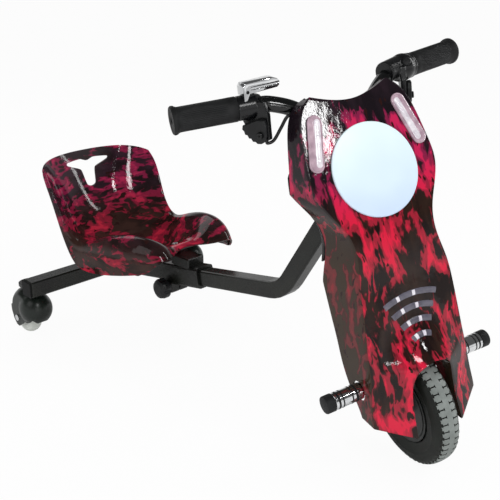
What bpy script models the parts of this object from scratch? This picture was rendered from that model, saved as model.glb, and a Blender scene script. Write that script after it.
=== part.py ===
"""Electric drift tricycle for a child: a steered front column with a hub motor, a bucket seat on a sloping
tube, and two hooded casters behind it.

Every size is in metres. The machine faces -Y, +Z is up and the rider's right hand is at -X. Lengths along
the machine are measured from a point near the front tyre's contact, with the bar straight, and the whole
model is then moved so that its origin lies on the floor under the middle of the machine.
"""
import bpy
import bmesh
from math import atan2, cos, hypot, pi, radians, sin, sqrt, tan
from mathutils import Matrix, Vector
from mathutils.bvhtree import BVHTree

# Clearances
GAP = 0.0003
RUNNING = 0.0005

# The origin, measured in the frame that the sizes below are given in
ORIGIN_X = -0.00958
ORIGIN_Y = 0.37653
FLOOR_Z = 0.006

# Steering axis: where it meets the floor, how far it leans back, and how far the bar is turned at rest
TRAIL = 0.012
RAKE = radians(25.0)
STEER_AT_REST = radians(-20.0)

# Front wheel
WHEEL_Y = -0.0080
WHEEL_Z = 0.1015
TYRE_RADIUS = 0.0940
TYRE_WIDTH = 0.039
RIM_RADIUS = 0.056
RIM_WIDTH = 0.036
HUB_WALL = 0.0045
HUB_BOSS = 0.024
AXLE_RADIUS = 0.006
AXLE_LENGTH = 0.106
STATOR_RADIUS = 0.048
STATOR_WIDTH = 0.020
STATOR_TEETH = 12

# Fork
LEG_AHEAD = 0.0314
LEG_INNER = 0.032
LEG_THICK = 0.008
LEG_DEPTH = 0.028
LUG_RADIUS = 0.014
CROWN_LOW = 0.312
CROWN_HIGH = 0.336
STEERER_RADIUS = 0.0127
STEERER_BORE = 0.0095
STEERER_TOP = 0.503

# Head tube and its cups, along the steering axis
HEAD_LOW = 0.354
HEAD_HIGH = 0.454
HEAD_RADIUS = 0.0200
HEAD_BORE = 0.0168
CUP_RADIUS = 0.0220
CUP_FLANGE = 0.0100
CUP_SKIRT = 0.012

# Pegs
PEG_Y = -0.0041
PEG_Z = 0.157
PEG_RADIUS = 0.0125
PEG_END = 0.1451
PEG_CAP = 0.014

# Main tube: straight run under the seat, bend, and rise to the head tube
TUBE_SIDE = 0.0305
TUBE_WALL = 0.002
TUBE_CORNER = 0.0035
TUBE_REF_Y = 0.4547
TUBE_REF_Z = 0.1615
BEND_Y = 0.2640
BEND_RADIUS = 0.062
RISER_MEETS_AXIS = 0.4042

# Cross tube
CROSS_SIDE = 0.032
CROSS_LENGTH = 0.454
CROSS_Y = 0.7275
CROSS_Z = 0.1225
TUBE_BELOW_CROSS = 0.0093
END_CAP = 0.003
SOCKET_WALL = 0.003
SOCKET_LENGTH = 0.046
SOCKET_BOLT_AHEAD = 0.022
BOLT_RADIUS = 0.004
HEX_RADIUS = 0.0075

# Casters
CASTER_X = 0.2007
PIVOT_BEHIND = 0.0405
CASTER_TRAIL = 0.0167
CASTER_AXLE_Z = 0.042
CASTER_RADIUS = 0.036
CASTER_WIDTH = 0.028
HOOD_WIDTH = 0.049
HOOD_CHEEK = 0.004
HOOD_RADIUS = 0.043
HOOD_DY = 0.003
HOOD_Z = 0.0643
HOOD_ROUNDING = 0.007
CASTER_PIN_RADIUS = 0.004
BRACKET_HALF = 0.021
BRACKET_LOW = 0.1125
BRACKET_THICK = 0.005
KINGPIN_RADIUS = 0.0055
STEM_FOOT = 0.0075

# Seat carriage
SLEEVE_FRONT = 0.468
SLEEVE_BACK = 0.567
SLEEVE_WALL = 0.0045
POST_Y = 0.5190
POST_DEPTH = 0.051
POST_TOP = 0.190
CLAMP_BOLT_Y = 0.556
CLAMP_BOLT_BELOW = 0.0103
EAR_OUT = 0.0208
KNOB_RADIUS = 0.020
KNOB_LENGTH = 0.025
KNOB_LOBES = 5
SEAT_WALL = 0.0035
SEAT_BOLT_YS = (0.556, 0.655)
PAD_LENGTHS = (0.030, 0.008)
SEAT_BOLT_RADIUS = 0.003
BOLT_HEAD = 0.0068

# Handlebar
BAR_RADIUS = 0.0111
BAR_CLAMP_WALL = 0.0054
HOUSING_WALL = 0.0025
FLANGE_THICK = 0.0042
FLANGE_RADIUS = 0.0205
BAR_CLAMP_Y = 0.125
BAR_CLAMP_Z = 0.512
GRIP_INNER = (0.1448, 0.1650, 0.5520)
GRIP_OUTER = (0.2344, 0.1802, 0.5535)
GRIP_RADIUS = 0.0174
GRIP_SIDES = 14
BAR_BEND = ((0.1130, 0.1575, 0.5526), (0.0980, 0.1512, 0.5510), (0.0740, 0.1405, 0.5420),
            (0.0520, 0.1310, 0.5270), (0.0340, 0.1262, 0.5150))
LEVER_PIVOT = (0.124, 0.1384, 0.516)
LEVER_THICK = 0.0068
LEVER_TURN = radians(59.0)
THUMB_X = 0.1320
THUMB_Z = 0.5750
THUMB_PIN = 0.0020
CABLE_RADIUS = 0.0024

# Shroud and the round panel on it
SHROUD_WALL = 0.003
FACE_Y = 0.0538
FACE_Z = 0.4554
FACE_LEAN = 0.509
DISC_RADIUS = 0.0666
DISC_THICK = 0.004
LED_WIDTH = 0.022
LED_THICK = 0.004

# Battery bay, along and ahead of the steering axis
BATTERY = (0.096, 0.048, 0.112)
BATTERY_AHEAD = 0.0525
BATTERY_LOW = 0.3405
CONTROLLER = (0.064, 0.022, 0.0805)
CAGE_WALL = 0.002

PIVOT_Y = CROSS_Y + PIVOT_BEHIND
# The straight run falls from its reference point to the cross tube
TUBE_SLOPE = (TUBE_REF_Z - (CROSS_Z - TUBE_BELOW_CROSS)) / (CROSS_Y - TUBE_REF_Y)

PARTS = None


# Scene, materials and frames

def clear_scene():
    """Empty the file and make the collection that holds the tricycle."""
    for obj in list(bpy.data.objects):
        bpy.data.objects.remove(obj, do_unlink=True)
    parts = bpy.data.collections.new("electric_tricycle")
    bpy.context.scene.collection.children.link(parts)
    return parts


def material(name, hex_colour, roughness, metallic=0.0):
    """A Principled material from an sRGB hex colour."""
    made = bpy.data.materials.get(name) or bpy.data.materials.new(name)
    made.use_nodes = True
    channels = []
    for start in (0, 2, 4):
        value = int(hex_colour[start:start + 2], 16) / 255
        channels.append(value / 12.92 if value <= 0.04045 else ((value + 0.055) / 1.055) ** 2.4)
    shader = made.node_tree.nodes["Principled BSDF"]
    shader.inputs["Base Color"].default_value = (*channels, 1.0)
    shader.inputs["Roughness"].default_value = roughness
    shader.inputs["Metallic"].default_value = metallic
    return made


def frame_empty(name, parent=None, matrix=None):
    """An empty that carries a group of pieces; its matrix is given in its parent's frame."""
    empty = bpy.data.objects.new(name, None)
    PARTS.objects.link(empty)
    empty.parent = parent
    empty.matrix_basis = matrix or Matrix.Identity(4)
    return empty


def keep(obj, name, finish, parent, smooth=30.0):
    """Name a finished piece, colour it, round its shading and hang it on its frame."""
    obj.name = name
    obj.data.name = name
    obj.data.materials.clear()
    obj.data.materials.append(finish)
    if smooth:
        obj.data.shade_smooth()
        obj.data.set_sharp_from_angle(angle=radians(smooth))
    for collection in list(obj.users_collection):
        collection.objects.unlink(obj)
    PARTS.objects.link(obj)
    obj.parent = parent
    return obj


# Modelling tools

def linked(name, data):
    """Put new data in the scene as an object."""
    obj = bpy.data.objects.new(name, data)
    bpy.context.scene.collection.objects.link(obj)
    return obj


def tidy(mesh, weld=0.00001):
    """Weld a mesh's loose caps and turn its faces outwards."""
    work = bmesh.new()
    work.from_mesh(mesh)
    bmesh.ops.remove_doubles(work, verts=work.verts, dist=weld)
    bmesh.ops.recalc_face_normals(work, faces=work.faces)
    work.to_mesh(mesh)
    work.free()


def baked(obj, weld=0.00001):
    """The object as a plain mesh with its modifiers and its place applied."""
    view = bpy.context.view_layer
    view.update()
    seen = obj.evaluated_get(bpy.context.evaluated_depsgraph_get())
    mesh = bpy.data.meshes.new_from_object(seen)
    mesh.transform(obj.matrix_world)
    tidy(mesh, weld)
    made = linked("solid", mesh)
    bpy.data.objects.remove(obj, do_unlink=True)
    return made


def bevelled(obj, width, segments=1, angle=40.0):
    """Round the object's sharp edges."""
    edge = obj.modifiers.new("rounding", "BEVEL")
    edge.width = width
    edge.segments = segments
    edge.limit_method = "ANGLE"
    edge.angle_limit = radians(angle)
    edge.harden_normals = False
    return baked(obj)


def combined(target, tool, operation):
    """Join, cut or keep the overlap of two solids; the tool is used up."""
    step = target.modifiers.new("step", "BOOLEAN")
    step.operation = operation
    step.solver = "EXACT"
    step.object = tool
    made = baked(target)
    bpy.data.objects.remove(tool, do_unlink=True)
    return made


def joined(target, *tools):
    """One solid from several that overlap."""
    for tool in tools:
        target = combined(target, tool, "UNION")
    return target


def cut(target, *tools):
    """The target without the tools."""
    for tool in tools:
        target = combined(target, tool, "DIFFERENCE")
    return target


def copy_of(obj):
    """A second object with its own mesh."""
    return linked("solid", obj.data.copy())


def moved(obj, matrix):
    """The solid after a change of place."""
    obj.data.transform(matrix)
    if matrix.determinant() < 0:
        obj.data.flip_normals()
    return obj


def mirrored(obj):
    """A copy of the solid on the other side of the machine."""
    return moved(copy_of(obj), Matrix.Scale(-1, 4, (1, 0, 0)))


def box(low, high, rounding=0.0):
    """A box between two corners."""
    low = Vector(low)
    high = Vector(high)
    bpy.ops.mesh.primitive_cube_add(size=1, location=(low + high) / 2)
    obj = bpy.context.object
    obj.scale = high - low
    obj = baked(obj)
    return bevelled(obj, rounding) if rounding else obj


def along(start, end):
    """The matrix that stands on start with its Z axis pointing to end."""
    start = Vector(start)
    turn = (Vector(end) - start).to_track_quat("Z", "Y")
    return Matrix.Translation(start) @ turn.to_matrix().to_4x4()


def rod(radius, start, end, sides=32, rounding=0.0, turn=0.0):
    """A round or many-sided bar between two points."""
    length = (Vector(end) - Vector(start)).length
    bpy.ops.mesh.primitive_cylinder_add(vertices=sides, radius=radius, depth=length)
    obj = baked(bpy.context.object)
    moved(obj, along(start, end) @ Matrix.Rotation(turn, 4, "Z") @ Matrix.Translation((0, 0, length / 2)))
    return bevelled(obj, rounding) if rounding else obj


def turned(profile, start, end, steps=40, turn=0.0):
    """A turned piece: radius and distance pairs about the line from start towards end."""
    mesh = bpy.data.meshes.new("profile")
    points = [(radius, 0.0, distance) for radius, distance in profile]
    on_axis = profile[0][0] == 0.0 and profile[-1][0] == 0.0
    count = len(points)
    edges = [(index, (index + 1) % count) for index in range(count - 1 if on_axis else count)]
    mesh.from_pydata(points, edges, [])
    obj = linked("profile", mesh)
    screw = obj.modifiers.new("turning", "SCREW")
    screw.steps = steps
    screw.render_steps = steps
    screw.use_merge_vertices = True
    screw.merge_threshold = 0.00001
    obj = baked(obj)
    return moved(obj, along(start, end) @ Matrix.Rotation(turn, 4, "Z"))


def wire(points, radius, resolution=2):
    """A round bar or cable along a list of points."""
    curve = bpy.data.curves.new("wire", "CURVE")
    curve.dimensions = "3D"
    curve.bevel_depth = radius
    curve.bevel_resolution = resolution
    curve.use_fill_caps = True
    spline = curve.splines.new("POLY")
    spline.points.add(len(points) - 1)
    for point, place in zip(spline.points, points):
        point.co = (*place, 1.0)
    return baked(linked("wire", curve))


def smooth_path(points, steps=4):
    """A smooth curve through the points."""
    places = [Vector(point) for point in points]
    places = [places[0] * 2 - places[1], *places, places[-1] * 2 - places[-2]]
    path = []
    for before, here, after, beyond in zip(places, places[1:], places[2:], places[3:]):
        for step in range(steps):
            t = step / steps
            path.append(0.5 * (2 * here + (after - before) * t
                               + (2 * before - 5 * here + 4 * after - beyond) * t ** 2
                               + (3 * here - before - 3 * after + beyond) * t ** 3))
    path.append(places[-2])
    return path


def rounded_rectangle(width, height, corner, steps=2):
    """The outline of a rectangle with round corners."""
    outline = []
    for quarter, (sx, sy) in enumerate(((1, 1), (-1, 1), (-1, -1), (1, -1))):
        for step in range(steps + 1):
            angle = pi / 2 * (quarter + step / steps)
            outline.append((sx * (width / 2 - corner) + corner * cos(angle),
                            sy * (height / 2 - corner) + corner * sin(angle)))
    return outline


def rail(points, width, height, corner):
    """A bar of rounded rectangular section along a path."""
    section = bpy.data.curves.new("section", "CURVE")
    section.dimensions = "2D"
    outline = rounded_rectangle(width, height, corner)
    spline = section.splines.new("POLY")
    spline.points.add(len(outline) - 1)
    for point, place in zip(spline.points, outline):
        point.co = (*place, 0.0, 1.0)
    spline.use_cyclic_u = True
    guide = linked("section", section)
    curve = bpy.data.curves.new("rail", "CURVE")
    curve.dimensions = "3D"
    curve.twist_mode = "Z_UP"
    curve.bevel_mode = "OBJECT"
    curve.bevel_object = guide
    curve.use_fill_caps = True
    spline = curve.splines.new("POLY")
    spline.points.add(len(points) - 1)
    for point, place in zip(spline.points, points):
        point.co = (*place, 1.0)
    made = baked(linked("rail", curve))
    bpy.data.objects.remove(guide, do_unlink=True)
    return made


def flat(outline, thickness, matrix, holes=()):
    """A flat piece from a 2D outline, its thickness halved about the outline's plane."""
    curve = bpy.data.curves.new("outline", "CURVE")
    curve.dimensions = "2D"
    curve.fill_mode = "BOTH"
    curve.extrude = thickness / 2
    for loop in (outline, *holes):
        spline = curve.splines.new("POLY")
        spline.points.add(len(loop) - 1)
        for point, place in zip(spline.points, loop):
            point.co = (place[0], place[1], 0.0, 1.0)
        spline.use_cyclic_u = True
    return moved(baked(linked("outline", curve)), matrix)


def arc(centre, radius, start, end, steps):
    """Points on a circle; the angles are in degrees."""
    return [(centre[0] + radius * cos(radians(start + (end - start) * step / steps)),
             centre[1] + radius * sin(radians(start + (end - start) * step / steps)))
            for step in range(steps + 1)]


def side_view(x=0.0):
    """Puts an outline drawn as (y, z) in the machine's side view."""
    return Matrix(((0, 0, 1, x), (1, 0, 0, 0), (0, 1, 0, 0), (0, 0, 0, 1)))


def front_view(y=0.0):
    """Puts an outline drawn as (x, z) in the machine's front view."""
    return Matrix(((1, 0, 0, 0), (0, 0, -1, y), (0, 1, 0, 0), (0, 0, 0, 1)))


def surface(obj):
    """A tree for finding points on a solid's surface."""
    work = bmesh.new()
    work.from_mesh(obj.data)
    tree = BVHTree.FromBMesh(work)
    work.free()
    return tree


# Where things are

def on_axis(height, ahead=0.0, x=0.0):
    """A point in the column's frame: along the steering axis, ahead of it and to the side."""
    return Vector((x, -ahead, height))


def straight(height, ahead=0.0, x=0.0):
    """The same point in the straight machine's frame."""
    return Vector((x, -TRAIL + height * sin(RAKE) - ahead * cos(RAKE), height * cos(RAKE) + ahead * sin(RAKE)))


def column_place(y, z):
    """Height along the steering axis and distance ahead of it, for a point of the straight machine."""
    return (y + TRAIL) * sin(RAKE) + z * cos(RAKE), -(y + TRAIL) * cos(RAKE) + z * sin(RAKE)


WHEEL_HEIGHT, WHEEL_AHEAD = column_place(WHEEL_Y, WHEEL_Z)
PEG_HEIGHT, PEG_AHEAD = column_place(PEG_Y, PEG_Z)
BAR_HEIGHT, BAR_AHEAD = column_place(BAR_CLAMP_Y, BAR_CLAMP_Z)
LEG_OUTER = LEG_INNER + LEG_THICK
HOUSING_RADIUS = BAR_RADIUS + HOUSING_WALL


def tube_z(y):
    """Height of the main tube's centre line under the seat."""
    return TUBE_REF_Z + TUBE_SLOPE * (TUBE_REF_Y - y)


CLAMP_BOLT_Z = tube_z(CLAMP_BOLT_Y) - TUBE_SIDE / 2 - CLAMP_BOLT_BELOW


def face_y(z):
    """The shroud's upper face, a plane that leans back."""
    return FACE_Y + FACE_LEAN * (z - FACE_Z)


# Frame

def main_tube_path(start_y):
    """The tube's centre line: straight run, round bend, and rise to the steering axis."""
    corner = Vector((0.0, BEND_Y, tube_z(BEND_Y)))
    top = straight(RISER_MEETS_AXIS)
    back = Vector((0.0, 1.0, -TUBE_SLOPE)).normalized()
    up = (top - corner).normalized()
    half = back.angle(up) / 2
    reach = BEND_RADIUS / tan(half)
    centre = corner + (back + up).normalized() * (BEND_RADIUS / sin(half))
    first = corner + back * reach - centre
    last = corner + up * reach - centre
    path = [Vector((0.0, start_y, tube_z(start_y)))]
    steps = 5
    for step in range(steps + 1):
        path.append(centre + first.lerp(last, step / steps).normalized() * BEND_RADIUS)
    path.append(top)
    return path


def rear_plane():
    """A block that ends pieces at the cross tube's front face."""
    front = CROSS_Y - CROSS_SIDE / 2 - GAP
    return box((-0.1, front, 0.0), (0.1, front + 0.1, 0.25))


def in_straight(column_solid):
    """Move a solid made in the column's frame to the straight machine's frame."""
    place = Matrix.Translation((0, -TRAIL, 0)) @ Matrix.Rotation(-RAKE, 4, "X")
    return moved(column_solid, place)


def build_frame(root, column, steel, plastic, bright):
    """Main tube, head tube and cups, cross tube with its caps, socket and caster brackets."""
    path = main_tube_path(CROSS_Y)
    outer = rail(path, TUBE_SIDE, TUBE_SIDE, TUBE_CORNER)
    inner_side = TUBE_SIDE - 2 * TUBE_WALL
    inner = rail(main_tube_path(CROSS_Y + 0.02), inner_side, inner_side, TUBE_CORNER / 2)
    head_space = in_straight(rod(HEAD_RADIUS + GAP, on_axis(0.25), on_axis(0.55), 20))
    bolt_y = CROSS_Y - CROSS_SIDE / 2 - SOCKET_BOLT_AHEAD
    bolt_z = tube_z(bolt_y)
    bolt_hole = rod(BOLT_RADIUS + GAP, (-0.04, bolt_y, bolt_z), (0.04, bolt_y, bolt_z), 16)
    tube = cut(outer, inner, head_space, rear_plane(), copy_of(bolt_hole))
    keep(tube, "main_tube", steel, root)

    head = turned([(HEAD_BORE, HEAD_LOW), (HEAD_RADIUS, HEAD_LOW), (HEAD_RADIUS, HEAD_HIGH),
                   (HEAD_BORE, HEAD_HIGH)], on_axis(0), on_axis(1), 20)
    keep(head, "head_tube", steel, column)

    bore = STEERER_RADIUS + RUNNING
    skirt = HEAD_BORE - GAP
    for name, face, way in (("headset_cup_lower", HEAD_LOW, -1), ("headset_cup_upper", HEAD_HIGH, 1)):
        profile = [(bore, face - way * CUP_SKIRT), (skirt, face - way * CUP_SKIRT), (skirt, face + way * GAP),
                   (CUP_RADIUS, face + way * GAP), (CUP_RADIUS - 0.001, face + way * CUP_FLANGE),
                   (bore, face + way * CUP_FLANGE)]
        keep(turned(profile, on_axis(0), on_axis(1), 20), name, bright, column)

    half = CROSS_LENGTH / 2
    low = (-half, CROSS_Y - CROSS_SIDE / 2, CROSS_Z - CROSS_SIDE / 2)
    high = (half, CROSS_Y + CROSS_SIDE / 2, CROSS_Z + CROSS_SIDE / 2)
    inside = CROSS_SIDE / 2 - TUBE_WALL
    bore_box = box((-half - 0.01, CROSS_Y - inside, CROSS_Z - inside),
                   (half + 0.01, CROSS_Y + inside, CROSS_Z + inside))
    keep(cut(box(low, high, 0.0025), bore_box), "rear_cross_tube", steel, root)
    plug = inside - GAP
    for name, side in (("end_cap_right", -1), ("end_cap_left", 1)):
        cap = box((half + GAP, low[1], low[2]), (half + GAP + END_CAP, high[1], high[2]), 0.0012)
        stub = box((half - 0.012, CROSS_Y - plug, CROSS_Z - plug), (half + 0.002, CROSS_Y + plug, CROSS_Z + plug))
        cap = joined(cap, stub)
        keep(cap if side > 0 else moved(cap, Matrix.Scale(-1, 4, (1, 0, 0))), name, plastic, root)

    ends = [Vector((0, y, tube_z(y))) for y in (CROSS_Y - CROSS_SIDE / 2 - SOCKET_LENGTH, CROSS_Y)]
    around = TUBE_SIDE + 3 * GAP
    outside = around + 2 * SOCKET_WALL
    sleeve = rail(ends, outside, outside, TUBE_CORNER + 0.002)
    run = [Vector((0, y, tube_z(y))) for y in (CROSS_Y - 0.12, CROSS_Y + 0.02)]
    sleeve = cut(sleeve, rail(run, around, around, TUBE_CORNER), rear_plane(), bolt_hole)
    keep(sleeve, "rear_socket", steel, root)
    out = outside / 2 + GAP
    bolt = rod(BOLT_RADIUS, (-out - 0.004, bolt_y, bolt_z), (out + 0.006, bolt_y, bolt_z), 16)
    head_hex = rod(HEX_RADIUS, (-out - 0.005, bolt_y, bolt_z), (-out, bolt_y, bolt_z), 6)
    nut_hex = rod(HEX_RADIUS, (out, bolt_y, bolt_z), (out + 0.006, bolt_y, bolt_z), 6)
    keep(joined(bolt, head_hex, nut_hex), "socket_bolt", bright, root)

    for name, side in (("caster_bracket_right", -1), ("caster_bracket_left", 1)):
        back = CROSS_Y + CROSS_SIDE / 2 + GAP
        centre = (0.0, PIVOT_Y)
        outline = [(BRACKET_HALF, back), *arc(centre, BRACKET_HALF, 0, 180, 10), (-BRACKET_HALF, back)]
        plate_z = BRACKET_LOW + BRACKET_THICK / 2
        plate = flat(outline, BRACKET_THICK, Matrix.Translation((side * CASTER_X, 0, plate_z)))
        web = box((side * CASTER_X - BRACKET_HALF, back, BRACKET_LOW + 0.001),
                  (side * CASTER_X + BRACKET_HALF, back + 0.004, CROSS_Z + 0.010))
        hole = rod(KINGPIN_RADIUS + RUNNING, (side * CASTER_X, PIVOT_Y, 0.1), (side * CASTER_X, PIVOT_Y, 0.13), 24)
        keep(cut(joined(plate, web), hole), name, steel, root)


# Casters

def build_caster(root, side, word, dark, white, bright):
    """One hooded caster: kingpin and hood swivel together, and the wheel turns on its axle."""
    pivot = frame_empty("caster_swivel_" + word, root,
                        Matrix.Translation((side * CASTER_X, PIVOT_Y, 0)))
    axle_y = CASTER_TRAIL
    axle_z = CASTER_AXLE_Z
    centre = (HOOD_DY, HOOD_Z)
    outline = [*arc(centre, HOOD_RADIUS, -8, 196, 15), (HOOD_DY - 0.038, 0.040), (axle_y - 0.012, 0.026),
               (axle_y + 0.002, 0.023), (axle_y + 0.014, 0.034)]
    hood = bevelled(flat(outline, HOOD_WIDTH, side_view()), HOOD_ROUNDING, 2, 60)
    room = HOOD_WIDTH / 2 - HOOD_CHEEK
    inner = HOOD_RADIUS - 0.0035
    mouth = 30
    cavity = [*arc(centre, inner, mouth, 180, 12), (HOOD_DY - inner, -0.01), (0.08, -0.01),
              (0.08, HOOD_Z + inner * sin(radians(mouth)))]
    pin_hole = rod(CASTER_PIN_RADIUS + GAP, (-0.04, axle_y, axle_z), (0.04, axle_y, axle_z), 16)
    king_hole = rod(KINGPIN_RADIUS + GAP, (0, 0, 0.09), (0, 0, 0.13), 16)
    hood = cut(hood, flat(cavity, 2 * room, side_view()), pin_hole, king_hole)
    keep(hood, "caster_hood_" + word, dark, pivot, 40)

    top = HOOD_Z + HOOD_RADIUS
    under = HOOD_Z + sqrt(inner ** 2 - (HOOD_DY + STEM_FOOT) ** 2) - GAP
    plate = BRACKET_LOW + BRACKET_THICK
    stem = [(0.0, under - 0.003), (STEM_FOOT, under - 0.003), (STEM_FOOT, under), (KINGPIN_RADIUS, under),
            (KINGPIN_RADIUS, top + GAP), (0.010, top + GAP), (0.010, BRACKET_LOW - GAP),
            (KINGPIN_RADIUS, BRACKET_LOW - GAP), (KINGPIN_RADIUS, plate + GAP), (0.0085, plate + GAP),
            (0.0085, plate + 0.0045), (0.0, plate + 0.0055)]
    keep(turned(stem, (0, 0, 0), (0, 0, 1), 12), "caster_stem_" + word, bright, pivot)

    reach = HOOD_WIDTH / 2
    axle = [(0.0, -reach - 0.002), (0.0065, -reach - 0.002), (0.0065, -reach - GAP),
            (CASTER_PIN_RADIUS, -reach - GAP), (CASTER_PIN_RADIUS, reach + GAP), (0.0065, reach + GAP),
            (0.0065, reach + 0.002), (0.0, reach + 0.002)]
    keep(turned(axle, (0, axle_y, axle_z), (1, axle_y, axle_z), 14), "caster_axle_" + word, bright, pivot)

    spin = frame_empty("caster_spin_" + word, pivot, Matrix.Translation((0, axle_y, axle_z)))
    facets = 24
    radius = CASTER_RADIUS / cos(pi / facets)
    half = CASTER_WIDTH / 2
    hub = HOOD_WIDTH / 2 - HOOD_CHEEK - GAP
    bore = CASTER_PIN_RADIUS + RUNNING
    wheel = [(bore, -hub), (0.010, -hub), (0.010, -half + 0.003), (radius - 0.014, -half),
             (radius - 0.004, -half), (radius, -half + 0.004), (radius, half - 0.004), (radius - 0.004, half),
             (radius - 0.014, half), (0.010, half - 0.003), (0.010, hub), (bore, hub)]
    # Half a facet's turn sets a flat facet on the floor.
    keep(turned(wheel, (0, 0, 0), (1, 0, 0), facets, pi / facets), "caster_wheel_" + word, white, spin)


# Seat and its carriage

# The seat's half shell, from its top edge forwards and down: each row runs from the middle outwards
SEAT_ROWS = (
    ((0.000, 0.848, 0.338), (0.050, 0.845, 0.338), (0.096, 0.834, 0.335),
     (0.121, 0.810, 0.329), (0.131, 0.795, 0.323), (0.132, 0.800, 0.322)),
    ((0.000, 0.844, 0.316), (0.050, 0.840, 0.315), (0.097, 0.824, 0.313),
     (0.122, 0.797, 0.310), (0.134, 0.776, 0.306), (0.136, 0.785, 0.302)),
    ((0.000, 0.836, 0.285), (0.048, 0.831, 0.285), (0.093, 0.810, 0.283),
     (0.118, 0.780, 0.280), (0.131, 0.757, 0.276), (0.134, 0.770, 0.270)),
    ((0.000, 0.820, 0.240), (0.046, 0.814, 0.240), (0.090, 0.791, 0.240),
     (0.116, 0.762, 0.238), (0.129, 0.742, 0.235), (0.132, 0.755, 0.226)),
    ((0.000, 0.795, 0.200), (0.045, 0.789, 0.201), (0.088, 0.766, 0.205),
     (0.114, 0.741, 0.210), (0.128, 0.725, 0.210), (0.133, 0.734, 0.188)),
    ((0.000, 0.752, 0.170), (0.044, 0.746, 0.172), (0.086, 0.730, 0.184),
     (0.112, 0.712, 0.200), (0.130, 0.701, 0.200), (0.137, 0.702, 0.157)),
    ((0.000, 0.700, 0.160), (0.043, 0.697, 0.163), (0.080, 0.688, 0.184),
     (0.107, 0.680, 0.207), (0.131, 0.674, 0.202), (0.138, 0.672, 0.152)),
    ((0.000, 0.650, 0.163), (0.041, 0.648, 0.168), (0.074, 0.642, 0.200),
     (0.102, 0.634, 0.231), (0.131, 0.630, 0.211), (0.138, 0.630, 0.156)),
    ((0.000, 0.605, 0.175), (0.039, 0.602, 0.183), (0.069, 0.592, 0.221),
     (0.098, 0.586, 0.247), (0.127, 0.586, 0.216), (0.134, 0.588, 0.164)),
    ((0.000, 0.565, 0.194), (0.037, 0.558, 0.203), (0.065, 0.543, 0.234),
     (0.093, 0.536, 0.248), (0.119, 0.542, 0.216), (0.125, 0.550, 0.172)),
    ((0.000, 0.538, 0.209), (0.035, 0.523, 0.214), (0.062, 0.506, 0.231),
     (0.087, 0.500, 0.235), (0.106, 0.512, 0.206), (0.112, 0.522, 0.178)),
    ((0.000, 0.530, 0.208), (0.036, 0.506, 0.204), (0.062, 0.488, 0.208),
     (0.084, 0.484, 0.210), (0.099, 0.498, 0.195), (0.103, 0.508, 0.183)),
)
# The Y-shaped hand hole's right half, as width and height on the backrest
SEAT_CUT = ((0.0000, 0.3145), (0.0100, 0.3180), (0.0160, 0.3205), (0.0490, 0.3180), (0.0520, 0.3155),
            (0.0500, 0.3120), (0.0340, 0.3055), (0.0210, 0.3010), (0.0165, 0.2970), (0.0125, 0.2710),
            (0.0100, 0.2655), (0.0000, 0.2620))


def loft(rows):
    """An open surface through rows of points."""
    mesh = bpy.data.meshes.new("loft")
    count = len(rows[0])
    faces = []
    for row in range(len(rows) - 1):
        for column in range(count - 1):
            first = row * count + column
            faces.append((first, first + 1, first + count + 1, first + count))
    mesh.from_pydata([point for row in rows for point in row], [], faces)
    return linked("loft", mesh)


def shell(obj, thickness, levels, creased=(), pointed=()):
    """A symmetric moulded wall, built behind a half surface that is open at the middle."""
    mirror = obj.modifiers.new("other half", "MIRROR")
    mirror.use_axis = (True, False, False)
    mirror.use_clip = True
    mirror.merge_threshold = 0.00005
    if creased:
        layer = obj.data.attributes.new("crease_edge", "FLOAT", "EDGE")
        wanted = {tuple(sorted(pair)) for pair in creased}
        for edge in obj.data.edges:
            if tuple(sorted(edge.vertices)) in wanted:
                layer.data[edge.index].value = 0.75
    if pointed:
        layer = obj.data.attributes.new("crease_vert", "FLOAT", "POINT")
        for index in pointed:
            layer.data[index].value = 0.8
    round_off = obj.modifiers.new("rounding", "SUBSURF")
    round_off.levels = levels
    round_off.render_levels = levels
    wall = obj.modifiers.new("wall", "SOLIDIFY")
    wall.thickness = thickness
    wall.offset = 1.0
    wall.use_even_offset = True
    return baked(obj)


def bolt_place(seat, y):
    """Where a seat bolt goes through the floor: its upper side, its lower side and the way up."""
    above, facing, index, distance = seat.ray_cast(Vector((0.0005, y, 0.3)), Vector((0, 0, -1)))
    below, away, index, distance = seat.ray_cast(above + Vector((0, 0, -0.002)), Vector((0, 0, -1)))
    up = Vector((0, facing.y, facing.z)).normalized()
    return Vector((0, above.y, above.z)), Vector((0, below.y, below.z)), up


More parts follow.
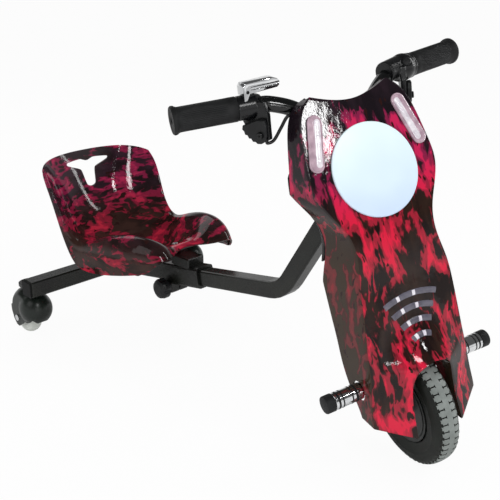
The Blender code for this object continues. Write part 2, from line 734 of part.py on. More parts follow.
def build_seat(carriage, print_finish, steel, bright, plastic):
    """Bucket seat, its clamp on the main tube, and the clamp's bolt and hand knob."""
    seat = shell(loft(SEAT_ROWS), SEAT_WALL, 1)
    whole = surface(seat)
    outline = [*SEAT_CUT, *[(-x, z) for x, z in reversed(SEAT_CUT[1:-1])]]
    seat = cut(seat, flat(outline, 0.12, front_view(0.84)))
    places = [bolt_place(whole, y) for y in SEAT_BOLT_YS]

    around = TUBE_SIDE + 2 * RUNNING
    outside = around + 2 * SLEEVE_WALL
    ends = [Vector((0, y, tube_z(y))) for y in (SLEEVE_FRONT, SLEEVE_BACK)]
    sleeve = rail(ends, outside, outside, 0.005)
    post_low = tube_z(POST_Y) + around / 2 + 0.003
    post = box((-0.020, POST_Y - POST_DEPTH / 2, post_low), (0.020, POST_Y + POST_DEPTH / 2, POST_TOP), 0.002)
    arm_z = places[1][1].z - 0.0055
    arm = rail([Vector((0, POST_Y, arm_z)), Vector((0, SEAT_BOLT_YS[1] + 0.014, arm_z))], 0.030, 0.006, 0.001)
    ears = box((-EAR_OUT, CLAMP_BOLT_Y - 0.011, CLAMP_BOLT_Z - 0.0115),
               (EAR_OUT, SLEEVE_BACK, tube_z(CLAMP_BOLT_Y) - around / 2), 0.0015)
    clamp = joined(sleeve, post, arm, ears)
    for (above, below, up), length in zip(places, PAD_LENGTHS):
        foot = below - up * GAP
        clamp = joined(clamp, rod(0.011, foot - up * length, foot, 16))
    run = [Vector((0, y, tube_z(y))) for y in (SLEEVE_FRONT - 0.06, SLEEVE_BACK + 0.06)]
    slit = box((-0.0015, SLEEVE_FRONT - 0.01, 0.09), (0.0015, SLEEVE_BACK + 0.01, tube_z(POST_Y)))
    bolt_line = ((-0.05, CLAMP_BOLT_Y, CLAMP_BOLT_Z), (0.05, CLAMP_BOLT_Y, CLAMP_BOLT_Z))
    clamp = cut(clamp, rail(run, around, around, TUBE_CORNER), slit, rod(BOLT_RADIUS + GAP, *bolt_line, 14))
    for above, below, up in places:
        hole = rod(SEAT_BOLT_RADIUS + GAP, above - up * 0.024, above + up * 0.02, 12)
        recess = rod(BOLT_HEAD + GAP, above - up * 0.0005, above + up * 0.010, 16)
        seat = cut(seat, copy_of(hole), recess)
        clamp = cut(clamp, hole)
    keep(clamp, "seat_clamp", steel, carriage)
    keep(seat, "seat_shell", print_finish, carriage, 60)
    bolt = [(0.0, -0.018), (SEAT_BOLT_RADIUS, -0.018), (SEAT_BOLT_RADIUS, -0.0002), (BOLT_HEAD, -0.0002),
            (BOLT_HEAD - 0.0005, 0.0023), (0.004, 0.0037), (0.0, 0.0040)]
    for name, (above, below, up) in zip(("seat_bolt_front", "seat_bolt_rear"), places):
        keep(turned(bolt, above, above + up, 12), name, bright, carriage)

    bolt = rod(BOLT_RADIUS, (-EAR_OUT - 0.020, CLAMP_BOLT_Y, CLAMP_BOLT_Z),
               (EAR_OUT + 0.002, CLAMP_BOLT_Y, CLAMP_BOLT_Z), 14)
    near = Vector((EAR_OUT + GAP, CLAMP_BOLT_Y, CLAMP_BOLT_Z))
    head = rod(HEX_RADIUS, near, near + Vector((0.0057, 0, 0)), 6)
    keep(joined(bolt, head), "clamp_bolt", bright, carriage)
    turn = frame_empty("clamp_knob_turn", carriage, Matrix.Translation((0, CLAMP_BOLT_Y, CLAMP_BOLT_Z)))
    face = -EAR_OUT - GAP
    far = face - KNOB_LENGTH
    knob = turned([(0.0, far), (0.012, far), (KNOB_RADIUS - 0.002, far + 0.003), (KNOB_RADIUS, far + 0.007),
                   (KNOB_RADIUS, face - 0.008), (0.012, face - 0.003), (0.012, face), (0.0, face)],
                  (0, 0, 0), (1, 0, 0), 24)
    for index in range(KNOB_LOBES):
        angle = 2 * pi * (index + 0.5) / KNOB_LOBES
        y = (KNOB_RADIUS + 0.003) * cos(angle)
        z = (KNOB_RADIUS + 0.003) * sin(angle)
        knob = cut(knob, rod(0.0065, (far - 0.002, y, z), (face + 0.002, y, z), 8))
    knob = cut(knob, rod(BOLT_RADIUS + RUNNING, (face - 0.0205, 0, 0), (0, 0, 0), 14))
    keep(knob, "clamp_knob", plastic, turn)


# Fork, wheel and pegs

def build_front(column, front, steel, alloy, rubber, dark, chrome):
    """Fork with its steerer, hub motor wheel and the two foot pegs."""
    legs_y = -LEG_AHEAD
    crown = box((-LEG_OUTER - 0.001, legs_y - 0.015, CROWN_LOW), (LEG_OUTER + 0.001, 0.017, CROWN_HIGH), 0.003)
    race = rod(0.019, on_axis(CROWN_HIGH - 0.002), on_axis(HEAD_LOW - CUP_FLANGE - GAP), 20)
    steerer = rod(STEERER_RADIUS, on_axis(CROWN_LOW + 0.004), on_axis(STEERER_TOP), 20)
    fork = joined(crown, race, steerer)
    back = legs_y + LEG_DEPTH / 2
    ahead = legs_y - LEG_DEPTH / 2
    outline = [(back, CROWN_HIGH - 0.004), *arc((-WHEEL_AHEAD, WHEEL_HEIGHT), LEG_DEPTH / 2, 0, -180, 10),
               *arc((-PEG_AHEAD, PEG_HEIGHT), LUG_RADIUS, -90, -270, 8),
               (ahead, PEG_HEIGHT + LUG_RADIUS), (ahead, CROWN_HIGH - 0.004)]
    for side in (-1, 1):
        fork = joined(fork, flat(outline, LEG_THICK, side_view(side * (LEG_INNER + LEG_THICK / 2))))
    wheel_line = ((-0.07, -WHEEL_AHEAD, WHEEL_HEIGHT), (0.07, -WHEEL_AHEAD, WHEEL_HEIGHT))
    peg_line = ((-0.07, -PEG_AHEAD, PEG_HEIGHT), (0.07, -PEG_AHEAD, PEG_HEIGHT))
    fork = cut(fork, rod(AXLE_RADIUS + GAP, *wheel_line, 12), rod(0.005 + GAP, *peg_line, 12),
               rod(STEERER_BORE, on_axis(CROWN_LOW - 0.01), on_axis(STEERER_TOP + 0.01), 14))
    keep(fork, "fork", steel, column)

    hub_centre = Matrix.Translation((0, WHEEL_Y, WHEEL_Z))
    spin = frame_empty("front_wheel_spin", front, hub_centre)
    half = TYRE_WIDTH / 2
    rim = RIM_WIDTH / 2
    tyre = [(RIM_RADIUS + GAP, -rim + 0.002), (RIM_RADIUS + 0.008, -rim), (TYRE_RADIUS - 0.024, -half),
            (TYRE_RADIUS - 0.010, -half), (TYRE_RADIUS - 0.0035, -half + 0.0055), (TYRE_RADIUS, -0.007),
            (TYRE_RADIUS, 0.007), (TYRE_RADIUS - 0.0035, half - 0.0055), (TYRE_RADIUS - 0.010, half),
            (TYRE_RADIUS - 0.024, half), (RIM_RADIUS + 0.008, rim), (RIM_RADIUS + GAP, rim - 0.002)]
    keep(turned(tyre, (0, 0, 0), (1, 0, 0), 34), "tyre", rubber, spin, 40)
    bore = AXLE_RADIUS + RUNNING
    inner = RIM_RADIUS - HUB_WALL
    shell_profile = [(bore, HUB_BOSS), (0.015, HUB_BOSS), (0.018, rim + 0.001), (RIM_RADIUS - 0.004, rim + 0.001),
                     (RIM_RADIUS, rim - 0.001), (RIM_RADIUS, -rim + 0.001), (inner, -rim + 0.001),
                     (inner, rim - 0.004), (bore, rim - 0.004)]
    keep(turned(shell_profile, (0, 0, 0), (1, 0, 0), 24), "hub_shell", alloy, spin)
    cover = [(bore, -HUB_BOSS), (0.015, -HUB_BOSS), (0.018, -rim), (inner - GAP, -rim), (inner - GAP, -rim + 0.004),
             (bore, -rim + 0.004)]
    keep(turned(cover, (0, 0, 0), (1, 0, 0), 24), "hub_cover", alloy, spin)

    teeth = []
    for index in range(STATOR_TEETH):
        middle = 360 * index / STATOR_TEETH
        pitch = 360 / STATOR_TEETH
        teeth += arc((0, 0), STATOR_RADIUS, middle - 0.32 * pitch, middle + 0.32 * pitch, 2)
        teeth += arc((0, 0), STATOR_RADIUS - 0.013, middle + 0.36 * pitch, middle + 0.64 * pitch, 1)
    hole = [(y, z) for y, z in arc((0, 0), AXLE_RADIUS + GAP, 0, 345, 23)]
    stator = flat(teeth, STATOR_WIDTH, side_view(), (hole,))
    keep(moved(stator, hub_centre), "motor_stator", dark, front)
    collar = LEG_INNER - GAP
    end = AXLE_LENGTH / 2
    axle = [(0.0, -end), (AXLE_RADIUS - 0.001, -end), (AXLE_RADIUS, -end + 0.001), (AXLE_RADIUS, -collar),
            (0.010, -collar), (0.010, -HUB_BOSS - GAP), (AXLE_RADIUS, -HUB_BOSS - GAP),
            (AXLE_RADIUS, HUB_BOSS + GAP), (0.010, HUB_BOSS + GAP), (0.010, collar), (AXLE_RADIUS, collar),
            (AXLE_RADIUS, end - 0.001), (AXLE_RADIUS - 0.001, end), (0.0, end)]
    keep(turned(axle, (0, WHEEL_Y, WHEEL_Z), (1, WHEEL_Y, WHEEL_Z), 12), "front_axle", alloy, front)
    for name, side in (("axle_nut_right", -1), ("axle_nut_left", 1)):
        near = Vector((side * (LEG_OUTER + GAP), WHEEL_Y, WHEEL_Z))
        out = Vector((side, 0, 0))
        nut = rod(0.0105, near, near + out * 0.009, 6)
        nut = cut(nut, rod(AXLE_RADIUS + GAP, near - out * 0.005, near + out * 0.02, 24))
        keep(nut, name, chrome, front)

    near = LEG_OUTER + GAP
    cap_start = PEG_END - PEG_CAP
    groove = PEG_RADIUS - 0.0012
    peg = [(0.0, LEG_INNER + 0.001), (0.005, LEG_INNER + 0.001), (0.005, near), (PEG_RADIUS, near)]
    for start, finish in ((0.094, 0.100), (0.114, 0.119)):
        peg += [(PEG_RADIUS, start), (groove, start + 0.0006), (groove, finish - 0.0006), (PEG_RADIUS, finish)]
    peg += [(PEG_RADIUS, cap_start - GAP), (0.009, cap_start - GAP), (0.009, PEG_END - 0.006),
            (0.0, PEG_END - 0.006)]
    cap = [(0.0, PEG_END - 0.006 + GAP), (0.009 + GAP, PEG_END - 0.006 + GAP), (0.009 + GAP, cap_start),
           (PEG_RADIUS + 0.0003, cap_start), (PEG_RADIUS + 0.0003, PEG_END - 0.002), (PEG_RADIUS - 0.002, PEG_END),
           (0.0, PEG_END)]
    for word, side in (("right", -1), ("left", 1)):
        start = (0, PEG_Y, PEG_Z)
        end = (side, PEG_Y, PEG_Z)
        keep(turned(peg, start, end, 14), "peg_" + word, chrome, front)
        keep(turned(cap, start, end, 14), "peg_cap_" + word, dark, front)


# Handlebar and controls

def bar_point(x):
    """The bar's centre at a given width on the straight part next to the grip."""
    inner = Vector(GRIP_INNER)
    bend = Vector(BAR_BEND[0])
    return inner.lerp(bend, (inner.x - x) / (inner.x - bend.x))


def build_bar(column, front, steel, rubber, plastic, chrome, cable_finish, accent):
    """Stem, bent bar, grips, lever housings, triggers, thumb lever, horn button and cables."""
    clamp_low = HEAD_HIGH + CUP_FLANGE + GAP
    clamp = rod(0.0195, on_axis(clamp_low), on_axis(STEERER_TOP - 0.002), 20)
    bar_line = ((-0.0205, -BAR_AHEAD, BAR_HEIGHT), (0.0205, -BAR_AHEAD, BAR_HEIGHT))
    bar_clamp = rod(BAR_RADIUS + BAR_CLAMP_WALL, *bar_line, 20)
    arm = rail([on_axis(0.486, 0.002), on_axis(BAR_HEIGHT, BAR_AHEAD)], 0.030, 0.022, 0.005)
    stem = joined(clamp, arm, bar_clamp)
    stem = cut(stem, rod(STEERER_RADIUS + GAP, on_axis(0.45), on_axis(0.55), 20),
               rod(BAR_RADIUS + GAP, (-0.05, -BAR_AHEAD, BAR_HEIGHT), (0.05, -BAR_AHEAD, BAR_HEIGHT), 20))
    keep(stem, "stem", steel, column)

    inner = Vector(GRIP_INNER)
    outer = Vector(GRIP_OUTER)
    reach = (outer - inner).normalized()
    centre = Vector((0.0, BAR_CLAMP_Y, BAR_CLAMP_Z))
    tip = outer - reach * 0.004
    half = smooth_path([tip, inner, *BAR_BEND, centre + Vector((0.022, 0, 0))], 2)
    path = [*half, *[Vector((-p.x, p.y, p.z)) for p in reversed(half)]]
    keep(wire(path, BAR_RADIUS, 2), "handlebar", steel, front, 40)

    length = (outer - inner).length
    bore = (BAR_RADIUS + GAP) / cos(pi / GRIP_SIDES)
    grip = [(bore, 0.0), (0.0208, 0.0), (0.0208, 0.0035), (GRIP_RADIUS, 0.0065)]
    ribs = 3
    for index in range(ribs):
        place = 0.012 + (length - 0.026) * index / (ribs - 1)
        grip += [(GRIP_RADIUS, place - 0.0025), (GRIP_RADIUS - 0.0010, place), (GRIP_RADIUS, place + 0.0025)]
    grip += [(GRIP_RADIUS, length - 0.008), (0.0196, length - 0.005), (0.0185, length),
             (0.0, length), (0.0, length - 0.0037), (bore, length - 0.0037)]
    for word, side in (("right", -1), ("left", 1)):
        start = Vector((side * inner.x, inner.y, inner.z))
        end = Vector((side * outer.x, outer.y, outer.z))
        keep(grip_solid(grip, start, end), "grip_" + word, rubber, front, 40)

    # The right-hand housing is made at +X and mirrored
    collar = joined(rod(HOUSING_RADIUS, bar_point(0.1175), bar_point(0.1415), 18),
                    rod(FLANGE_RADIUS, inner - reach * FLANGE_THICK, inner - reach * GAP, 18, 0.0015))
    place = Matrix.Translation(LEVER_PIVOT) @ Matrix.Rotation(LEVER_TURN, 4, "Z")
    face = LEVER_THICK / 2 + GAP
    bracket = box((-0.010, face, -0.009), (0.008, face + 0.0078, 0.036), 0.0012)
    pin = rod(0.0025, (0, -face - 0.002, 0), (0, face + 0.002, 0), 10)
    head = rod(0.0050, (0, -face - 0.003, 0), (0, -face, 0), 12)
    nozzle = rod(0.0040, (0.1165, 0.1430, 0.512), (0.1135, 0.1465, 0.5035), 10)
    common = joined(moved(joined(bracket, pin, head), place), nozzle)
    bar_space = wire(half, BAR_RADIUS + RUNNING, 2)
    neck_y = bar_point(THUMB_X).y - 0.004
    neck = box((THUMB_X - 0.003, neck_y - 0.006, 0.562),
               (THUMB_X + 0.003, neck_y + 0.006, THUMB_Z + 0.0045), 0.0008)
    neck_pin = rod(THUMB_PIN, (THUMB_X, neck_y - 0.0098, THUMB_Z), (THUMB_X, neck_y + 0.0098, THUMB_Z), 10)
    right = cut(joined(copy_of(common), collar, neck, neck_pin), copy_of(bar_space))
    keep(moved(right, Matrix.Scale(-1, 4, (1, 0, 0))), "lever_housing_right", plastic, front)

    pod = rod(0.0195, bar_point(0.1165), bar_point(0.1405), 20, 0.003)
    pod_mid = bar_point(0.1285)
    facing = Vector((-0.10, -0.80, 0.60)).normalized()
    pocket = rod(0.0070, pod_mid + facing * 0.0135, pod_mid + facing * 0.03, 16)
    lump = rod(0.0165, bar_point(0.1180) + Vector((0, 0, 0.003)), Vector((0.0880, 0.1480, 0.5545)), 16, 0.003)
    left = cut(joined(common, pod, lump), bar_space, pocket)
    keep(left, "lever_housing_left", plastic, front)
    press = frame_empty("switch_press", front, Matrix.Translation(pod_mid))
    button = turned([(0.0, 0.0162), (0.0066, 0.0162), (0.0066, 0.0212), (0.0050, 0.0224), (0.0, 0.0228)],
                    (0, 0, 0), facing, 16)
    keep(button, "switch_button", accent, press)

    blade = [(-0.0085, 0.0215), (-0.0106, 0.0127), (-0.0100, -0.0006), (-0.0063, -0.0092), (0.0000, -0.0125),
             (0.0063, -0.0128), (0.0095, -0.0102), (0.0137, -0.0100), (0.0159, -0.0060), (0.0196, -0.0056),
             (0.0217, -0.0010), (0.0254, -0.0002), (0.0264, 0.0044), (0.0291, 0.0067), (0.0275, 0.0124),
             (0.0040, 0.0215)]
    trigger = bevelled(flat(blade, LEVER_THICK, front_view()), 0.0012, 1, 70)
    trigger = moved(cut(trigger, rod(0.0029, (0, -0.02, 0), (0, 0.02, 0), 12)), place)
    for word, side in (("right", -1), ("left", 1)):
        pivot = Vector((side * LEVER_PIVOT[0], LEVER_PIVOT[1], LEVER_PIVOT[2]))
        turn = frame_empty("trigger_turn_" + word, front, Matrix.Translation(pivot))
        piece = copy_of(trigger) if side > 0 else mirrored(trigger)
        keep(moved(piece, Matrix.Translation(-pivot)), "trigger_" + word, plastic, turn)
    bpy.data.objects.remove(trigger, do_unlink=True)

    paddle = [(0.138, 0.5595), (0.138, 0.5830), (0.134, 0.5870), (0.094, 0.5870), (0.086, 0.5845), (0.0825, 0.5790),
              (0.0830, 0.5735), (0.088, 0.5695), (0.127, 0.5695), (0.127, 0.5595)]
    lever = flat(paddle, 0.020, front_view(neck_y))
    lever = bevelled(lever, 0.0012, 1, 60)
    hollow = box((0.0865, neck_y - 0.0072, 0.55), (0.1362, neck_y + 0.0072, 0.5845))
    collar_space = rod(HOUSING_RADIUS + 0.0014, bar_point(0.150), bar_point(0.105), 20)
    pin_line = ((THUMB_X, 0.10, THUMB_Z), (THUMB_X, 0.20, THUMB_Z))
    lever = cut(lever, hollow, collar_space, rod(THUMB_PIN + 0.0004, *pin_line, 16))
    lever = moved(lever, Matrix.Scale(-1, 4, (1, 0, 0)))
    place = Vector((-THUMB_X, neck_y, THUMB_Z))
    turn = frame_empty("thumb_lever_turn", front, Matrix.Translation(place))
    keep(moved(lever, Matrix.Translation(-place)), "thumb_lever", chrome, turn)

    low_end = BATTERY_LOW + CONTROLLER[2] + 2 * GAP
    plugged = BATTERY_AHEAD + BATTERY[1] + GAP + 0.4 * CONTROLLER[1]
    route = ((0.1130, 0.1468, 0.5025), (0.1115, 0.1470, 0.4990), (0.1030, 0.1440, 0.5020), (0.0945, 0.1350, 0.5200),
             (0.0860, 0.1275, 0.5360), (0.0720, 0.1225, 0.5370), (0.0590, 0.1160, 0.5240), (0.0490, 0.1060, 0.5000),
             (0.0400, 0.0880, 0.4720),
             straight(low_end + 0.009, plugged, 0.029), straight(low_end + 0.003, plugged, 0.029),
             straight(low_end, plugged, 0.029))
    for word, side in (("right", -1), ("left", 1)):
        points = [Vector((side * x, y, z)) for x, y, z in route]
        keep(wire(smooth_path(points, 2), CABLE_RADIUS, 1), "cable_" + word, cable_finish, front, 60)


def grip_solid(profile, start, end):
    """A grip whose bore is blind, turned about the bar."""
    mesh = bpy.data.meshes.new("profile")
    count = len(profile)
    mesh.from_pydata([(radius, 0.0, distance) for radius, distance in profile],
                     [(index, (index + 1) % count) for index in range(count) if index != count - 3], [])
    obj = linked("profile", mesh)
    screw = obj.modifiers.new("turning", "SCREW")
    screw.steps = GRIP_SIDES
    screw.render_steps = GRIP_SIDES
    screw.use_merge_vertices = True
    screw.merge_threshold = 0.00001
    return moved(baked(obj), along(start, end))


# Shroud

# Rows of the shroud's right half: middle (or leg's inner edge), front corner, and rear edge of its side
SHROUD_ROWS = (
    ((0.000, None, 0.5450), (0.062, None, 0.5610), (0.062, 0.1200, 0.5570)),
    ((0.000, None, 0.5360), (0.080, None, 0.5480), (0.082, 0.1195, 0.5500)),
    ((0.000, None, 0.5180), (0.0915, None, 0.5250), (0.0935, 0.1200, 0.5280)),
    ((0.000, None, 0.4850), (0.0975, None, 0.4850), (0.1005, 0.1120, 0.4880)),
    ((0.000, None, 0.4520), (0.1025, None, 0.4520), (0.1055, 0.1050, 0.4530)),
    ((0.000, None, 0.4290), (0.0950, None, 0.4310), (0.1070, 0.1050, 0.4320)),
    ((0.000, None, 0.4100), (0.0820, None, 0.4100), (0.0935, 0.0970, 0.4110)),
    ((0.000, None, 0.3900), (0.0680, 0.0190, 0.3880), (0.0745, 0.0880, 0.3850)),
    ((0.000, 0.0060, 0.3580), (0.0645, 0.0065, 0.3580), (0.0715, 0.0775, 0.3520)),
    ((0.000, -0.0070, 0.3220), (0.0745, -0.0050, 0.3220), (0.0790, 0.0780, 0.3240)),
    ((0.000, -0.0145, 0.2890), (0.0765, -0.0135, 0.2890), (0.0830, 0.0780, 0.3000)),
    ((0.000, -0.0290, 0.2520), (0.0792, -0.0200, 0.2520), (0.0848, 0.0580, 0.2480)),
    ((0.000, -0.0490, 0.2290), (0.0808, -0.0245, 0.2270), (0.0854, 0.0480, 0.2230)),
    ((0.000, -0.0720, 0.2100), (0.0820, -0.0285, 0.2060), (0.0858, 0.0420, 0.2020)),
    ((0.024, -0.0690, 0.2030), (0.0830, -0.0320, 0.1890), (0.0861, 0.0370, 0.1860)),
    ((0.0335, -0.0610, 0.1790), (0.0845, -0.0345, 0.1710), (0.0867, 0.0280, 0.1680)),
    ((0.0350, -0.0630, 0.1480), (0.0870, -0.0365, 0.1480), (0.0872, 0.0140, 0.1470)),
    ((0.0370, -0.0720, 0.1150), (0.0890, -0.0420, 0.1240), (0.0876, -0.0060, 0.1220)),
    ((0.0380, -0.0780, 0.0970), (0.0895, -0.0430, 0.1150), (0.0876, -0.0100, 0.1130)),
)
# Shares of the way from the middle to the corner, and from the corner to the rear edge
ACROSS = (0.0, 0.5, 0.92, 1.0)
BACK = (1.0,)
# The first rows dip towards the middle, between the two horns
DIPPED_ROWS = 3
TOP_RIM = 0.020
# The wheel arch: its first row, and the rim folded back from its edge
ARCH_ROW = 13
ARCH_RIM = 0.036
# Rows whose corners stay sharp, and those whose rear corners do
SHARP_ROWS = (0, 18)
SHARP_REAR_ROWS = (5, 10)
# Arc lamps: half width, height of the ends, height of the middle
ARCS = ((0.0436, 0.2821, 0.2905), (0.0342, 0.2654, 0.2730), (0.0250, 0.2495, 0.2550), (0.0154, 0.2336, 0.2372))
ARC_BAND = 0.0055

# Rear cover and the charging socket in it
COVER_FIRST = 4
COVER_LAST = 9
COVER_AHEAD = 0.0315
COVER_HALF = 0.054
COVER_WALL = 0.0025
SEAM = 0.0024
PORT_HEIGHT = 0.405
PORT_X = 0.036
PORT_BODY = 0.0080
POST_RADIUS = 0.0040
LED_TOP = (0.0681, 0.5287)
LED_LOW = (0.0834, 0.4794)


def face_point(point, on_face):
    """A control point, put on the leaning face where its depth is left open."""
    x, y, z = point
    return Vector((x, face_y(z) if on_face else y, z))


def shroud_skin():
    """The shroud's half as one open surface: face, side, and the rims folded back at its top and its arch."""
    corner = len(ACROSS) - 1
    width = corner + 1 + len(BACK)
    points = []
    for index, (middle, edge, rear) in enumerate(SHROUD_ROWS):
        first = face_point(middle, middle[1] is None)
        last = face_point(edge, edge[1] is None)
        for share in ACROSS:
            point = first.lerp(last, share)
            if index < DIPPED_ROWS:
                point.z = first.z + (last.z - first.z) * share ** 1.6
                point.y = face_y(point.z)
            points.append(point)
        for share in BACK:
            points.append(last.lerp(Vector(rear), share))
    faces = []
    for row in range(len(SHROUD_ROWS) - 1):
        for column in range(width - 1):
            first = row * width + column
            faces.append((first, first + 1, first + width + 1, first + width))
    inwards = Vector((0, 1, -FACE_LEAN)).normalized()
    ahead = list(range(corner + 1))
    for level, share in enumerate(BACK):
        behind = []
        for column in range(corner):
            behind.append(len(points))
            points.append(points[column] + inwards * TOP_RIM * share)
        behind.append(corner + 1 + level)
        for column in range(corner):
            faces.append((ahead[column + 1], ahead[column], behind[column], behind[column + 1]))
        ahead = behind
    arch = [row * width for row in range(ARCH_ROW, len(SHROUD_ROWS))]
    first = len(points)
    points += [points[index] + Vector((0, ARCH_RIM, 0)) for index in arch]
    for step in range(len(arch) - 1):
        faces.append((first + step, arch[step], arch[step + 1], first + step + 1))
    mesh = bpy.data.meshes.new("skin")
    mesh.from_pydata(points, [], faces)
    sharp = [(row * width + corner, (row + 1) * width + corner) for row in range(len(SHROUD_ROWS) - 1)]
    sharp += [(column, column + 1) for column in range(corner)]
    sharp += list(zip(arch, arch[1:]))
    pointed = [row * width + corner for row in SHARP_ROWS]
    pointed += [row * width + corner + 1 for row in (*SHARP_ROWS, *SHARP_REAR_ROWS)]
    pointed += [arch[-1], len(points) - 1]
    return linked("skin", mesh), sharp, pointed


def rear_cover_skin():
    """The rear cover's half: it starts at the shroud's rear edge and closes the battery bay."""
    rows = []
    for middle, edge, rear in SHROUD_ROWS[COVER_FIRST:COVER_LAST + 1]:
        x, y, z = rear
        height = (z - COVER_AHEAD * sin(RAKE)) / cos(RAKE)
        back = straight(height, COVER_AHEAD)
        rows.append((back, back + Vector((COVER_HALF, -0.001, 0)), Vector((x - 0.006, y + 0.022, z)),
                     Vector((x, y + SEAM, z))))
    obj = loft(rows)
    obj.data.flip_normals()
    return obj


def ribbon(skin, places, width, low, high):
    """A bar that follows the skin through places seen from the front, between two depths along its normal."""
    spots = []
    for x, z in places:
        hits = [skin.ray_cast(Vector((x + shift, -0.3, z)), Vector((0, 1, 0))) for shift in (-0.002, 0.0, 0.002)]
        spots.append((hits[1][0], (hits[0][1] + hits[1][1] + hits[2][1]).normalized()))
    sections = []
    for index, (hit, normal) in enumerate(spots):
        before = spots[max(index - 1, 0)][0]
        after = spots[min(index + 1, len(spots) - 1)][0]
        sideways = normal.cross(after - before).normalized() * width / 2
        sections.append([hit + normal * low - sideways, hit + normal * low + sideways,
                         hit + normal * high + sideways, hit + normal * high - sideways])
    points = [point for section in sections for point in section]
    faces = [(0, 1, 2, 3), tuple(len(points) - 4 + side for side in (3, 2, 1, 0))]
    for index in range(len(sections) - 1):
        for side in range(4):
            here = index * 4 + side
            beside = index * 4 + (side + 1) % 4
            faces.append((here, beside, beside + 4, here + 4))
    mesh = bpy.data.meshes.new("ribbon")
    mesh.from_pydata(points, [], faces)
    tidy(mesh)
    return linked("ribbon", mesh)


def arc_places(half_width, end_z, middle_z, steps=6):
    """Points along one arc lamp, highest in the middle."""
    places = []
    for step in range(steps + 1):
        share = 2 * step / steps - 1
        places.append((half_width * share, end_z + (middle_z - end_z) * (1 - share ** 2)))
    return places


def lengthened(places, extra):
    """The same places with both ends carried on by a little."""
    ends = []
    for near, beside in ((places[0], places[1]), (places[-1], places[-2])):
        share = 1 + extra / hypot(near[0] - beside[0], near[1] - beside[1])
        ends.append((beside[0] + (near[0] - beside[0]) * share, beside[1] + (near[1] - beside[1]) * share))
    return [ends[0], *places[1:-1], ends[1]]


def build_shroud(front, print_finish, plastic, pale, clear, frosted):
    """Front shroud, rear cover, round panel, side lamps and the arc lamps' light guide."""
    half, sharp, pointed = shroud_skin()
    skin = shell(half, SHROUD_WALL, 1, sharp, pointed)
    inner = surface(skin)

    guide = ribbon(inner, [(0.0, z) for z in (0.2345, 0.250, 0.265, 0.280, 0.2900)], 0.014, -0.0085, -0.0045)
    for half_width, end_z, middle_z in ARCS:
        places = arc_places(half_width, end_z, middle_z)
        guide = joined(guide, ribbon(inner, places, ARC_BAND, -0.0075, 0.0005))
        slot = lengthened(places, RUNNING)
        skin = cut(skin, ribbon(inner, slot, ARC_BAND + 2 * RUNNING, -0.006, 0.004))
    keep(guide, "arc_light", frosted, front, 40)
    for side in (-1, 1):
        peg_hole = rod(PEG_RADIUS + 0.0025, (side * 0.070, PEG_Y, PEG_Z), (side * 0.100, PEG_Y, PEG_Z), 32)
        skin = cut(skin, peg_hole)
    keep(skin, "shroud_front", print_finish, front, 50)

    cover_columns = 4
    pointed = [(row - COVER_FIRST) * cover_columns + cover_columns - 1 for row in SHARP_REAR_ROWS if row <= COVER_LAST]
    cover = shell(rear_cover_skin(), COVER_WALL, 1, (), pointed)
    port = straight(PORT_HEIGHT, COVER_AHEAD, PORT_X)
    out = (straight(0.0, -1.0) - straight(0.0)).normalized()
    hole = rod(PORT_BODY + GAP, port - out * 0.02, port + out * 0.02, 28)
    keep(cut(cover, hole), "shroud_rear", plastic, front, 50)

    up = Vector((0, FACE_LEAN, 1)).normalized()
    outward = Vector((0, -1, FACE_LEAN)).normalized()
    face = Matrix(((1, 0, 0, 0), (0, up.y, outward.y, FACE_Y), (0, up.z, outward.z, FACE_Z), (0, 0, 0, 1)))
    disc = [(0.0, GAP), (DISC_RADIUS, GAP), (DISC_RADIUS, DISC_THICK - 0.001), (DISC_RADIUS - 0.001, DISC_THICK),
            (DISC_RADIUS - 0.004, DISC_THICK), (DISC_RADIUS - 0.005, DISC_THICK - 0.0008),
            (0.0, DISC_THICK - 0.0008)]
    keep(moved(turned(disc, (0, 0, 0), (0, 0, 1), 36), face), "number_disc", pale, front)
    for word, side in (("right", -1), ("left", 1)):
        top = Vector((side * LED_TOP[0], (LED_TOP[1] - FACE_Z) / up.z))
        low = Vector((side * LED_LOW[0], (LED_LOW[1] - FACE_Z) / up.z))
        lean = atan2(top.y - low.y, top.x - low.x) * 180 / pi
        around = LED_WIDTH / 2
        outline = [*arc(top, around, lean - 90, lean + 90, 6), *arc(low, around, lean + 90, lean + 270, 6)]
        lamp = flat(outline, LED_THICK, face @ Matrix.Translation((0, 0, GAP + LED_THICK / 2)))
        keep(bevelled(lamp, 0.0012, 1, 60), "led_strip_" + word, clear, front, 40)
    return inner, port, out


